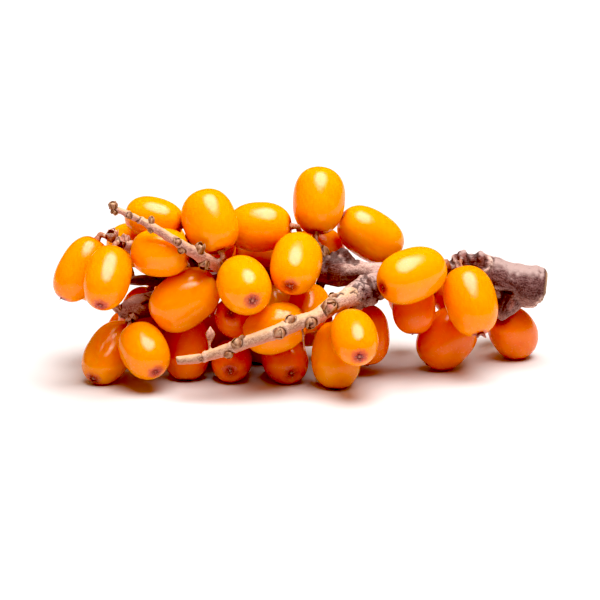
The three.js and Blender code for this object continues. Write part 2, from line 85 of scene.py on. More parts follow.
def unit(vectors: np.ndarray) -> np.ndarray:
    """The same vectors at length 1."""
    return vectors / np.maximum(np.linalg.norm(vectors, axis=-1, keepdims=True), 1e-9)


def ease(low: float, high: float, values: np.ndarray) -> np.ndarray:
    """0 up to low, 1 from high on, and a smooth step between them, which may run downwards."""
    share = np.clip((values - low) / (high - low), 0.0, 1.0)
    return share * share * (3.0 - 2.0 * share)


def bell(distances: np.ndarray, width: float) -> np.ndarray:
    """1 at no distance, falling away smoothly over a width."""
    return np.exp(-((distances / width) ** 2))


class LatticeNoise:
    """Smooth seeded noise from random values on a lattice of cubes."""

    SIZE = 512
    LAYER_SHIFT = 7.3
    SCATTER = 0.45

    def __init__(self, seed: int) -> None:
        """Draws the lattice's values.

        Args:
            seed: the seed of every random draw.
        """
        draw = np.random.default_rng(seed)
        self.order = draw.permutation(self.SIZE)
        self.values = draw.uniform(-1.0, 1.0, (self.SIZE, 3))

    def spot(self, cells: np.ndarray) -> np.ndarray:
        """Finds each cell's random values.

        Args:
            cells: one row of three whole numbers for each cell.

        Returns:
            The index of each cell's values.
        """
        index = self.order[cells[:, 0] % self.SIZE]
        index = self.order[(index + cells[:, 1]) % self.SIZE]
        return self.order[(index + cells[:, 2]) % self.SIZE]

    def at(self, places: np.ndarray) -> np.ndarray:
        """Noise from -1 to 1, with features about one unit across.

        Args:
            places: one row of three coordinates for each value.

        Returns:
            One value for each place.
        """
        base = np.floor(places).astype(int)
        part = places - base
        part = part * part * (3.0 - 2.0 * part)
        total = np.zeros(len(places))
        for corner in itertools.product((0, 1), repeat=3):
            weight = np.prod(np.where(corner, part, 1.0 - part), axis=1)
            total += weight * self.values[self.spot(base + corner), 0]
        return total

    def layers(self, places: np.ndarray, count: int) -> np.ndarray:
        """Noise with finer noise on it, each layer half as large and half as strong."""
        return sum(self.at(places * 2.0**n + self.LAYER_SHIFT * n) * 0.5**n for n in range(count))

    def seams(self, places: np.ndarray) -> np.ndarray:
        """How far each place is from the seam between the two random cells that are nearest to it.

        Args:
            places: one row of three coordinates for each value, with cells one unit across.

        Returns:
            One distance for each place, zero on a seam.
        """
        base = np.floor(places).astype(int)
        near = np.full((2, len(places)), np.inf)
        for corner in itertools.product((-1, 0, 1), repeat=3):
            cells = base + corner
            seeds = cells + 0.5 + self.SCATTER * self.values[self.spot(cells)]
            gap = np.linalg.norm(places - seeds, axis=1)
            near[1] = np.minimum(near[1], np.maximum(near[0], gap))
            near[0] = np.minimum(near[0], gap)
        return near[1] - near[0]


@dataclass
class Sheet:
    """Vertices, faces and named values of a mesh that is being put together, in millimetres."""

    places: list[np.ndarray] = field(default_factory=list)
    faces: Faces = field(default_factory=list)
    values: dict[str, list[np.ndarray]] = field(default_factory=dict)

    def add(self, places: np.ndarray, faces: Faces, **values: np.ndarray) -> None:
        """Adds a closed part.

        Args:
            places: its vertices.
            faces: its faces, numbered from its own first vertex.
            values: named values, one for each vertex.
        """
        start = sum(len(part) for part in self.places)
        self.places.append(places)
        self.faces.extend(tuple(start + corner for corner in face) for face in faces)
        for name, column in values.items():
            self.values.setdefault(name, []).append(np.broadcast_to(column, len(places)))

    def make(self, name: str) -> bpy.types.Object:
        """The parts as one smooth object of that name, in metres."""
        values = {key: np.concatenate(columns) for key, columns in self.values.items()}
        return make_object(name, np.concatenate(self.places), self.faces, values)


def put(name: str, data: bpy.types.ID) -> bpy.types.Object:
    """Puts a new object in the scene.

    Args:
        name: its name.
        data: its mesh, light or camera.

    Returns:
        The object.
    """
    item = bpy.data.objects.new(name, data)
    bpy.context.scene.collection.objects.link(item)
    return item


def read_rows(items: bpy.types.bpy_prop_collection, key: str) -> np.ndarray:
    """Reads a vector of three from each vertex of a mesh.

    Args:
        items: the mesh's vertices or its vertices' normals.
        key: the vector's name.

    Returns:
        One row for each vertex.
    """
    flat = np.empty(len(items) * 3, np.float32)
    items.foreach_get(key, flat)
    return flat.reshape(-1, 3).astype(float)


def read_faces(mesh: bpy.types.Mesh) -> Faces:
    """The faces of a mesh, by the numbers of their vertices."""
    return [tuple(face.vertices) for face in mesh.polygons]


def set_values(mesh: bpy.types.Mesh, values: dict[str, np.ndarray]) -> None:
    """Writes named values on a mesh's vertices, as numbers or as vectors of three.

    Args:
        mesh: the mesh.
        values: named values, one for each vertex.
    """
    for name, column in values.items():
        kind = "FLOAT" if column.ndim == 1 else "FLOAT_VECTOR"
        attribute = mesh.attributes.new(name, kind, "POINT")
        key = "value" if column.ndim == 1 else "vector"
        attribute.data.foreach_set(key, np.ascontiguousarray(column, np.float32).ravel())


def make_object(
    name: str, places: np.ndarray, faces: Faces, values: dict[str, np.ndarray]
) -> bpy.types.Object:
    """Makes a smooth mesh object.

    Args:
        name: the piece's name.
        places: its vertices in millimetres.
        faces: its faces.
        values: named values, one for each vertex.

    Returns:
        The object, linked to the scene.
    """
    mesh = bpy.data.meshes.new(name)
    mesh.from_pydata((places * MM).tolist(), [], faces)
    set_values(mesh, values)
    mesh.shade_smooth()
    mesh.update()
    return put(name, mesh)


def grid_faces(rows: int, columns: int, closed: bool) -> Faces:
    """The four-sided faces of a grid of vertices.

    Args:
        rows: how many rows of vertices it has.
        columns: how many vertices each row has.
        closed: whether the last column meets the first again.

    Returns:
        The faces.
    """
    wrap = columns if closed else columns - 1
    return [
        (
            row * columns + column,
            row * columns + (column + 1) % columns,
            (row + 1) * columns + (column + 1) % columns,
            (row + 1) * columns + column,
        )
        for row in range(rows - 1)
        for column in range(wrap)
    ]


def tube(line: np.ndarray, radii: np.ndarray, sides: int) -> tuple[np.ndarray, Faces]:
    """A closed round rod along a line.

    Args:
        line: places along it, in millimetres.
        radii: its radius at each place.
        sides: how many sides it has.

    Returns:
        Its vertices and faces.
    """
    along = unit(np.gradient(line, axis=0))
    side, top = carried_frame(along)
    turn = np.linspace(0.0, 2.0 * math.pi, sides, endpoint=False)
    ring = np.cos(turn)[None, :, None] * side[:, None] + np.sin(turn)[None, :, None] * top[:, None]
    places = (line[:, None] + radii[:, None, None] * ring).reshape(-1, 3)
    last = (len(line) - 1) * sides
    ends = [tuple(reversed(range(sides))), tuple(range(last, last + sides))]
    return places, grid_faces(len(line), sides, True) + ends


def carried_frame(along: np.ndarray) -> tuple[np.ndarray, np.ndarray]:
    """Two directions across a line at each place, carried along it without twist.

    Args:
        along: the line's direction at each place.

    Returns:
        The two directions, square to each other and to the line.
    """
    side = np.empty_like(along)
    side[0] = unit(np.cross(along[0], [0.0, 1.0, 0.0]))
    for i in range(1, len(along)):
        side[i] = unit(side[i - 1] - np.dot(side[i - 1], along[i]) * along[i])
    return side, np.cross(along, side)


def standing_on(axis: np.ndarray) -> np.ndarray:
    """Triple directions square to each other, as rows, of which the third is the axis."""
    side, top = carried_frame(axis[None])
    return np.array([side[0], top[0], axis])


# --------------------------------------------------------------------------------------- finishes


class NodeTable:
    """Builds one material's nodes, with short calls for the ones that recur."""

    def __init__(self, name: str) -> None:
        """Starts a material with a Principled shader.

        Args:
            name: the material's name.
        """
        self.material = bpy.data.materials.new(name)
        self.material.use_nodes = True
        self.tree = self.material.node_tree
        self.shader = self.tree.nodes["Principled BSDF"]

    def add(self, kind: str, **settings: object) -> bpy.types.Node:
        """Makes a node.

        Args:
            kind: the node's kind.
            settings: its settings, by name.

        Returns:
            The node.
        """
        node = self.tree.nodes.new(kind)
        for key, value in settings.items():
            setattr(node, key, value)
        return node

    def feed(self, socket: NodeSocket, source: object) -> None:
        """Links a socket to a source, or sets it to a plain value.

        Args:
            socket: the socket that takes it.
            source: another node's socket, a number, or a colour.
        """
        if isinstance(source, NodeSocket):
            self.tree.links.new(source, socket)
        elif isinstance(source, tuple) and len(source) == 3 and socket.type == "RGBA":
            socket.default_value = (*source, 1.0)
        else:
            socket.default_value = source

    def feed_all(self, node: bpy.types.Node, sockets: dict[str, object]) -> None:
        """Feeds a node's sockets, which are given by name."""
        for name, source in sockets.items():
            self.feed(node.inputs[name], source)

    def value(self, name: str) -> NodeSocket:
        """A number kept on the mesh's vertices."""
        return self.add("ShaderNodeAttribute", attribute_name=name).outputs["Fac"]

    def vector(self, name: str) -> NodeSocket:
        """A vector kept on the mesh's vertices."""
        return self.add("ShaderNodeAttribute", attribute_name=name).outputs["Vector"]

    def place(self) -> NodeSocket:
        """The place on the object."""
        return self.add("ShaderNodeTexCoord").outputs["Object"]

    def stretched(self, place: NodeSocket, scale: Triple) -> NodeSocket:
        """Scales a place by a factor on each axis.

        Args:
            place: the place.
            scale: the three factors.

        Returns:
            The scaled place.
        """
        node = self.add("ShaderNodeVectorMath", operation="MULTIPLY")
        self.feed(node.inputs[0], place)
        self.feed(node.inputs[1], scale)
        return node.outputs["Vector"]

    def noise(self, place: NodeSocket, scale: float, detail: float) -> NodeSocket:
        """Cloudy noise.

        Args:
            place: where it is asked for.
            scale: how many features there are to a unit.
            detail: how many finer layers lie on it.

        Returns:
            A number from 0 to 1.
        """
        node = self.add("ShaderNodeTexNoise")
        self.feed_all(node, {"Vector": place, "Scale": scale, "Detail": detail})
        return node.outputs["Fac"]

    def cells(self, place: NodeSocket, scale: float) -> NodeSocket:
        """The distance to the nearest of some scattered points.

        Args:
            place: where it is asked for.
            scale: how many points there are to a unit.

        Returns:
            The distance, as a share of the usual gap.
        """
        node = self.add("ShaderNodeTexVoronoi")
        self.feed_all(node, {"Vector": place, "Scale": scale})
        return node.outputs["Distance"]

    def span(self, source: NodeSocket, reach: Pair, to: Pair = (0.0, 1.0)) -> NodeSocket:
        """Brings a number smoothly from one range to another, and holds it inside it.

        Args:
            source: the number.
            reach: the range that it comes from.
            to: the range that it is brought to.

        Returns:
            The new number.
        """
        node = self.add("ShaderNodeMapRange", interpolation_type="SMOOTHSTEP")
        for socket, value in zip(node.inputs, (source, *reach, *to)):
            self.feed(socket, value)
        return node.outputs["Result"]

    def sum(self, kind: str, a: object, b: object) -> NodeSocket:
        """Does a sum.

        Args:
            kind: ADD or MULTIPLY.
            a: the first number.
            b: the second number.

        Returns:
            The answer.
        """
        node = self.add("ShaderNodeMath", operation=kind)
        self.feed(node.inputs[0], a)
        self.feed(node.inputs[1], b)
        return node.outputs[0]

    def blend(self, share: NodeSocket, a: object, b: object) -> NodeSocket:
        """Lays a share of one colour over another.

        Args:
            share: how much of it is laid over, from 0 to 1.
            a: the colour below.
            b: the colour above.

        Returns:
            The mixed colour.
        """
        node = self.add("ShaderNodeMix", data_type="RGBA")
        first, second = (socket for socket in node.inputs[1:] if socket.type == "RGBA")
        self.feed(node.inputs["Factor"], share)
        self.feed(first, a)
        self.feed(second, b)
        return next(socket for socket in node.outputs if socket.type == "RGBA")

    def relief(self, height: NodeSocket, depth: float) -> None:
        """Gives the surface fine relief.

        Args:
            height: how high each place is.
            depth: how deep the relief goes, in millimetres.
        """
        node = self.add("ShaderNodeBump")
        self.feed_all(node, {"Distance": depth * MM, "Height": height})
        self.feed(self.shader.inputs["Normal"], node.outputs["Normal"])

    def finish(self, **sockets: object) -> bpy.types.Material:
        """Sets the shader's sockets by name, with _ for a space, and gives the material."""
        self.feed_all(self.shader, {key.replace("_", " "): value for key, value in sockets.items()})
        return self.material


@dataclass(frozen=True)
class Cloud:
    """Cloudy noise in a finish: how many features it has to a metre, and how many finer layers."""

    scale: float
    detail: float

    def at(self, nodes: NodeTable, place: NodeSocket) -> NodeSocket:
        """The noise at a place, from 0 to 1."""
        return nodes.noise(place, self.scale, self.detail)


@dataclass(frozen=True)
class EndStain:
    """A ragged stain round one end of a berry, which fades out over a reach in millimetres."""

    end: str
    colour: Colour
    reach: Pair
    share: float
    edge: Cloud
    raggedness: float

    def over(self, nodes: NodeTable, place: NodeSocket, skin: NodeSocket) -> NodeSocket:
        """Lays the stain over the skin.

        Args:
            nodes: the material's nodes.
            place: the place on the object.
            skin: the skin's colour.

        Returns:
            The stained colour.
        """
        ragged = nodes.sum("MULTIPLY", self.edge.at(nodes, place), self.raggedness)
        away = nodes.sum("ADD", nodes.value(self.end), ragged)
        return nodes.blend(nodes.span(away, self.reach, (self.share, 0.0)), skin, self.colour)


@dataclass(frozen=True)
class BerrySkin:
    """Thin, glossy skin over juicy orange flesh that lets light in."""

    name: str
    flesh: Colour
    deep: Colour
    mottle: Cloud = Cloud(380.0, 2.0)
    mottle_span: Pair = (0.25, 0.85)
    scale_dot: Colour = (0.80, 0.30, 0.05)
    dot_spacing: float = 1500.0
    dot_size: Pair = (0.10, 0.17)
    dot_share: float = 0.22
    dot_height: float = 1.4
    stains: tuple[EndStain, ...] = (
        EndStain("from_stalk", (0.40, 0.030, 0.008), (1.5, 2.9), 0.95, Cloud(1900.0, 3.0), 0.9),
        EndStain("from_flower", (0.56, 0.085, 0.042), (1.35, 2.2), 0.85, Cloud(1900.0, 3.0), 0.9),
        EndStain("from_flower", (0.40, 0.038, 0.026), (1.3, 1.75), 0.9, Cloud(4200.0, 2.0), 1.5),
    )
    pores: Cloud = Cloud(2600.0, 2.0)
    pore_span: Pair = (0.2, 0.8)
    pore_depth: float = 0.012
    roughness: Pair = (0.20, 0.29)
    shine: float = 0.66
    glow: float = 0.7
    light_reach: Colour = (1.0, 0.20, 0.01)
    light_depth: float = 5.5

    def material(self) -> bpy.types.Material:
        """The skin, mottled, redder at its ends and set with fine pale scales.

        Returns:
            The material.
        """
        nodes = NodeTable(self.name)
        place = nodes.place()
        mottle = nodes.span(self.mottle.at(nodes, place), self.mottle_span)
        colour = nodes.blend(mottle, self.flesh, self.deep)
        dots = nodes.span(nodes.cells(place, self.dot_spacing), self.dot_size, (self.dot_share, 0.0))
        colour = nodes.blend(dots, colour, self.scale_dot)
        for stain in self.stains:
            colour = stain.over(nodes, place, colour)
        pores = self.pores.at(nodes, place)
        raised = nodes.sum("MULTIPLY", dots, self.dot_height)
        nodes.relief(nodes.sum("ADD", pores, raised), self.pore_depth)
        return nodes.finish(
            Base_Color=colour,
            Roughness=nodes.span(pores, self.pore_span, self.roughness),
            IOR=SKIN_IOR,
            Specular_IOR_Level=self.shine,
            Subsurface_Weight=self.glow,
            Subsurface_Radius=self.light_reach,
            Subsurface_Scale=self.light_depth * MM,
        )


class RipenessAndShade(Enum):
    """How ripe a berry is, and how much painted shade its skin carries, as its skin's finish."""

    GOLDEN = BerrySkin("golden_berry_skin", flesh=(0.97, 0.348, 0.002), deep=(0.97, 0.33, 0.002))
    ORANGE = BerrySkin("orange_berry_skin", flesh=(0.96, 0.302, 0.002), deep=(0.95, 0.28, 0.002))
    # partly painted shade: the darkest skin, for the berries that hang low and inside
    DEEP = BerrySkin("deep_berry_skin", flesh=(0.84, 0.185, 0.001), deep=(0.80, 0.15, 0.001))


@dataclass(frozen=True)
class CutWood:
    """The pale wood of the cut end, with its rings."""

    wood: Colour = (0.46, 0.29, 0.17)
    ring: Colour = (0.25, 0.130, 0.075)
    spacing: float = 0.62
    bend: float = 3.2
    detail: float = 4.0
    ring_span: Pair = (0.3, 1.0)
    fade_span: Pair = (0.3, 0.6)

    def colour(self, nodes: NodeTable, grain: NodeSocket, patches: NodeSocket) -> NodeSocket:
        """The wood's colour.

        Args:
            nodes: the material's nodes.
            grain: the place in the limb's own grain.
            patches: broad noise, where the rings fade.

        Returns:
            The colour.
        """
        rings = nodes.add("ShaderNodeTexWave", wave_type="RINGS", rings_direction="X")
        sockets = {"Vector": grain, "Scale": self.spacing, "Distortion": self.bend, "Detail": self.detail}
        nodes.feed_all(rings, sockets)
        fade = nodes.span(patches, self.fade_span)
        share = nodes.sum("MULTIPLY", nodes.span(rings.outputs["Fac"], self.ring_span), fade)
        return nodes.blend(share, self.wood, self.ring)


@dataclass(frozen=True)
class Bark:
    """Bark and stalks: old wood is dark and wrinkled, and young shoots are pink or tan."""

    name: str = "sprig_bark"
    old_dark: Colour = (0.062, 0.023, 0.023)
    old_light: Colour = (0.198, 0.090, 0.084)
    # painted sheen: pale grey-pink laid on the upward-facing old bark, standing in for the light from above,
    # on bark that is a little paler there too
    worn: Colour = (0.50, 0.36, 0.33)
    red_dark: Colour = (0.17, 0.050, 0.040)
    red_light: Colour = (0.42, 0.170, 0.135)
    flush: Colour = (0.70, 0.230, 0.165)
    pink_dark: Colour = (0.29, 0.125, 0.098)
    pink_light: Colour = (0.60, 0.325, 0.250)
    tan_dark: Colour = (0.28, 0.135, 0.085)
    tan_light: Colour = (0.56, 0.345, 0.235)
    # painted light: the pale tan laid along the tops of the young shoots, where the light from above falls
    crest: Colour = (0.78, 0.51, 0.285)
    stalk_dark: Colour = (0.32, 0.095, 0.050)
    stalk_light: Colour = (0.62, 0.300, 0.180)
    # the pale of scars, also used for painted light on the swollen node, the left spur and the old bark's
    # undersides
    scar_and_lit_dark: Colour = (0.44, 0.250, 0.215)
    scar_and_lit_pale: Colour = (0.80, 0.585, 0.490)
    # the dark of the cracks, also used for the painted shade in furrows, pits, folds, creases and hollows
    crack_and_shade: Colour = (0.050, 0.016, 0.014)
    cut: CutWood = CutWood()
    fibres: Triple = (1.9, 6.0, 6.0)
    patches: Triple = (0.7, 1.4, 1.4)
    grain_detail: float = 4.0
    specks: Cloud = Cloud(5200.0, 2.0)
    weights: Triple = (0.9, 0.5, 0.9)
    light_span: Pair = (0.88, 1.42)
    groove_and_shade_span: Pair = (0.25, 1.0)
    groove_and_shade_share: float = 0.85
    speck_height: float = 0.6
    depth: float = 0.10
    roughness: Pair = (0.9, 0.55)

    def kinds(self, nodes: NodeTable, share: NodeSocket) -> NodeSocket:
        """The colour of each kind of bark where it grows, with painted light on the upward-facing tops and
        painted shade in the grooves.

        Args:
            nodes: the material's nodes.
            share: how light the bark is, from 0 to 1.

        Returns:
            The colour.
        """
        colour = nodes.blend(share, self.old_dark, self.old_light)
        flushed = nodes.sum("MULTIPLY", nodes.value("red"), nodes.value("young"))
        for place, above in (
            (nodes.value("red"), nodes.blend(share, self.red_dark, self.red_light)),
            (nodes.value("worn"), self.worn),
            (nodes.value("pink"), nodes.blend(share, self.pink_dark, self.pink_light)),
            (nodes.value("tan"), nodes.blend(share, self.tan_dark, self.tan_light)),
            (nodes.value("crest"), self.crest),
            (flushed, self.flush),
            (nodes.value("stalk"), nodes.blend(share, self.stalk_dark, self.stalk_light)),
            (nodes.value("scar"), nodes.blend(share, self.scar_and_lit_dark, self.scar_and_lit_pale)),
        ):
            colour = nodes.blend(place, colour, above)
        # the dark of real cracks and of painted shade, laid over the bark
        groove = nodes.span(nodes.value("groove"), self.groove_and_shade_span, (0.0, self.groove_and_shade_share))
        return nodes.blend(groove, colour, self.crack_and_shade)

    def material(self) -> bpy.types.Material:
        """The bark, with grain along each limb, dark cracks, painted light and shade, and the cut end's
        rings.

        Returns:
            The material.
        """
        nodes = NodeTable(self.name)
        grain = nodes.vector("grain")
        fibres = nodes.noise(nodes.stretched(grain, self.fibres), 1.0, self.grain_detail)
        patches = nodes.noise(nodes.stretched(grain, self.patches), 1.0, self.grain_detail)
        specks = self.specks.at(nodes, nodes.place())
        weighed = [
            nodes.sum("MULTIPLY", noise, weight)
            for noise, weight in zip((fibres, patches, specks), self.weights)
        ]
        total = nodes.sum("ADD", nodes.sum("ADD", weighed[0], weighed[1]), weighed[2])
        light = nodes.span(total, self.light_span)
        wood = self.cut.colour(nodes, grain, patches)
        colour = nodes.blend(nodes.value("cut"), self.kinds(nodes, light), wood)
        grit = nodes.sum("MULTIPLY", specks, self.speck_height)
        nodes.relief(nodes.sum("ADD", fibres, grit), self.depth)
        rough = nodes.span(light, (0.0, 1.0), self.roughness)
        return nodes.finish(Base_Color=colour, Roughness=rough, IOR=SKIN_IOR)


@dataclass(frozen=True)
class DryScale:
    """Dry papery scales, with a paler edge."""

    name: str
    dark: Colour
    light: Colour
    edge: Colour
    streaks: Cloud = Cloud(3400.0, 3.0)
    streak_span: Pair = (0.3, 0.7)
    edge_span: Pair = (0.2, 0.6)
    edge_share: Pair = (0.5, 1.0)
    depth: float = 0.05
    rough_span: Pair = (0.2, 0.8)
    roughness: Pair = (0.48, 0.75)

    def material(self) -> bpy.types.Material:
        """The scale, streaked from its root to its tip.

        Returns:
            The material.
        """
        nodes = NodeTable(self.name)
        streaks = self.streaks.at(nodes, nodes.place())
        colour = nodes.blend(nodes.span(streaks, self.streak_span), self.dark, self.light)
        worn = nodes.span(streaks, self.edge_span, self.edge_share)
        colour = nodes.blend(nodes.sum("MULTIPLY", nodes.value("edge"), worn), colour, self.edge)
        nodes.relief(streaks, self.depth)
        rough = nodes.span(streaks, self.rough_span, self.roughness)
        return nodes.finish(Base_Color=colour, Roughness=rough)


class ScaleFinish(Enum):
    """The kinds of dry scale on the sprig."""

    BUD = DryScale("bud_scale", (0.140, 0.045, 0.020), (0.34, 0.140, 0.065), (0.56, 0.33, 0.20))
    PALE_BUD = DryScale("pale_bud_scale", (0.24, 0.060, 0.040), (0.54, 0.230, 0.155), (0.72, 0.46, 0.35))
    FLOWER = DryScale("dried_flower", (0.150, 0.018, 0.012), (0.34, 0.060, 0.038), (0.62, 0.26, 0.19))


# ----------------------------------------------------------------------------------------- berries


@dataclass(frozen=True)
class BerryForm:
    """Where a berry is, which way its flower end points and how large it is, in millimetres."""

    name: str
    middle: np.ndarray
    axis: np.ndarray
    half: float
    radius: float

    SIDES = 12
    HOLLOW = 0.35
    WAIST_WITHIN = 0.002
    WELD_DIGITS = 4

    @classmethod
    def read(cls, node: bpy.types.Object) -> "BerryForm":
        """Reads a berry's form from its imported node.

        Args:
            node: the berry's node.

        Returns:
            The form.
        """
        raw = read_rows(node.data.vertices, "co") / MM
        places, index = np.unique(raw.round(cls.WELD_DIGITS), axis=0, return_inverse=True)
        triangles = index.ravel()[np.array(read_faces(node.data))]
        poles = np.flatnonzero(np.bincount(triangles.ravel()) == cls.SIDES)
        body = places.mean(axis=0)
        ends = [cls.end_at(places, triangles, pole, body) for pole in poles]
        pole, outward, _ = min(ends, key=lambda end: end[2])
        axis = -outward
        along = (places - pole) @ axis
        out = np.linalg.norm(places - pole - np.outer(along, axis), axis=1)
        waist = along[out > out.max() - cls.WAIST_WITHIN].mean()
        return cls(node.name, pole + waist * axis, axis, waist + cls.HOLLOW, out.max())

    @staticmethod
    def end_at(
        places: np.ndarray, triangles: np.ndarray, pole: int, body: np.ndarray
    ) -> tuple[np.ndarray, np.ndarray, float]:
        """One end of a berry's mesh.

        Args:
            places: the mesh's vertices.
            triangles: its faces.
            pole: the vertex at this end.
            body: a place inside the berry.

        Returns:
            The pole's place, the direction outwards there, and how far it stands out of its ring.
        """
        ring = np.setdiff1d(np.unique(triangles[(triangles == pole).any(axis=1)]), [pole])
        middle = places[ring].mean(axis=0)
        outward = np.linalg.svd(places[ring] - middle)[2][2]
        outward *= np.sign(np.dot(outward, middle - body))
        return places[pole], outward, float(np.dot(places[pole] - middle, outward))


@dataclass(frozen=True)
class BerryShape:
    """What every berry's skin is made by, in millimetres and shares."""

    fullness: float = 2.35
    around: int = 64
    rings: int = 30
    end_rings: tuple[float, ...] = (0.07, 0.14, 0.22, 0.31, 0.42, 0.55, 0.7, 0.88, 1.1, 1.35)
    flower_dip: Pair = (0.14, 0.62)  # depth and width
    stalk_dip: Pair = (0.42, 0.85)  # depth and width
    taper: float = 0.035
    lobes: float = 0.010
    lobe_counts: tuple[int, int] = (2, 3)
    even_end: float = 0.5
    bend: float = 0.10

    def outline(self, form: BerryForm) -> tuple[np.ndarray, np.ndarray]:
        """The berry's outline, from the flower end to the stalk.

        Args:
            form: the berry's place and size.

        Returns:
            The distances out from the axis, and those along it.
        """
        power = 2.0 / self.fullness
        near = np.arcsin((np.array(self.end_rings) / form.radius) ** (1.0 / power))
        middle = np.linspace(near[-1], math.pi - near[-1], self.rings + 2)[1:-1]
        angles = np.concatenate([near, middle, math.pi - near[::-1]])
        rise = np.cos(angles)
        out = form.radius * np.sin(angles) ** power
        return out, form.half * np.sign(rise) * np.abs(rise) ** power


@dataclass
class BerryCrowd:
    """All the berries, each with fine skin in its own node's place."""

    shape: BerryShape = BerryShape()
    seed: int = 11
    # the golden skin goes to the top and front berries and the deep skin to the lower and inner ones: partly
    # real differences in how ripe they are, partly painted light and shade
    golden: tuple[int, ...] = (3, 4, 5, 6, 7, 8, 14, 15, 16, 31, 36, 37, 38)
    deep: tuple[int, ...] = (10, 11, 12, 20, 21, 22, 24, 27, 30, 33, 34, 39, 40, 43)

    def ripeness_and_shade(self, number: int) -> RipenessAndShade:
        """How ripe a berry is, with painted shade on the lower and inner berries.

        Args:
            number: the berry's number.

        Returns:
            How ripe it is, with its painted shade.
        """
        if number in self.golden:
            return RipenessAndShade.GOLDEN
        return RipenessAndShade.DEEP if number in self.deep else RipenessAndShade.ORANGE

    def skin(self, form: BerryForm, draw: np.random.Generator) -> bpy.types.Object:
        """One berry's skin, a little uneven, with a dip at each end.

        Args:
            form: the berry's place and size.
            draw: the source of its unevenness.

        Returns:
            The object.
        """
        out, along = self.shape.outline(form)
        turn = np.linspace(0.0, 2.0 * math.pi, self.shape.around, endpoint=False)
        taper = self.shape.taper * draw.uniform(-1.0, 1.0)
        level = along / form.half
        starts = draw.uniform(0.0, 2.0 * math.pi, 3)
        two, three = self.shape.lobe_counts
        uneven = np.sin(two * turn + starts[0])[None] + np.sin(three * turn + starts[1] + level[:, None])
        ends = ease(0.0, self.shape.even_end, 1.0 - np.abs(level))[:, None]
        wide = out[:, None] * (1.0 + taper * level[:, None] + self.shape.lobes * ends * uneven)
        flower_dip, flower_width = self.shape.flower_dip
        stalk_dip, stalk_width = self.shape.stalk_dip
        dip = np.where(level > 0, -flower_dip * bell(out, flower_width), stalk_dip * bell(out, stalk_width))
        side, top = carried_frame(form.axis[None])
        bend = self.shape.bend * (1.0 - level**2) * math.cos(starts[2])
        ring = np.cos(turn)[None, :, None] * side + np.sin(turn)[None, :, None] * top
        places = form.middle + (along + dip)[:, None, None] * form.axis + wide[..., None] * ring
        places = places + bend[:, None, None] * side
        grid = places.reshape(-1, 3)
        tips = np.array(
            [
                form.middle + (form.half - flower_dip) * form.axis,
                form.middle - (form.half - stalk_dip) * form.axis,
            ]
        )
        grid = np.concatenate([grid, tips])
        grid[:, 2] = np.maximum(grid[:, 2], 0.0)
        count = self.shape.around
        last = len(grid) - 2 - count
        faces = [tuple(reversed(face)) for face in grid_faces(len(out), count, True)]
        for i in range(count):
            after = (i + 1) % count
            faces.append((len(grid) - 2, i, after))
            faces.append((len(grid) - 1, last + after, last + i))
        values = {
            "from_flower": np.linalg.norm(grid - tips[0], axis=1),
            "from_stalk": np.linalg.norm(grid - tips[1], axis=1),
        }
        return make_object(form.name + "_skin", grid, faces, values)

    def build(self, forms: list[BerryForm]) -> list[bpy.types.Object]:
        """Every berry, dressed and set on the sprig.

        Args:
            forms: the berries' forms, in the order of their names.

        Returns:
            The berries' objects.
        """
        draw = np.random.default_rng(self.seed)
        finishes = {ripeness_and_shade: ripeness_and_shade.value.material() for ripeness_and_shade in RipenessAndShade}
        pieces = []
        for number, form in enumerate(forms, 1):
            piece = self.skin(form, draw)
            piece.data.materials.append(finishes[self.ripeness_and_shade(number)])
            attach(piece, BODY)
            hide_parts(form.name)
            pieces.append(piece)
        return pieces


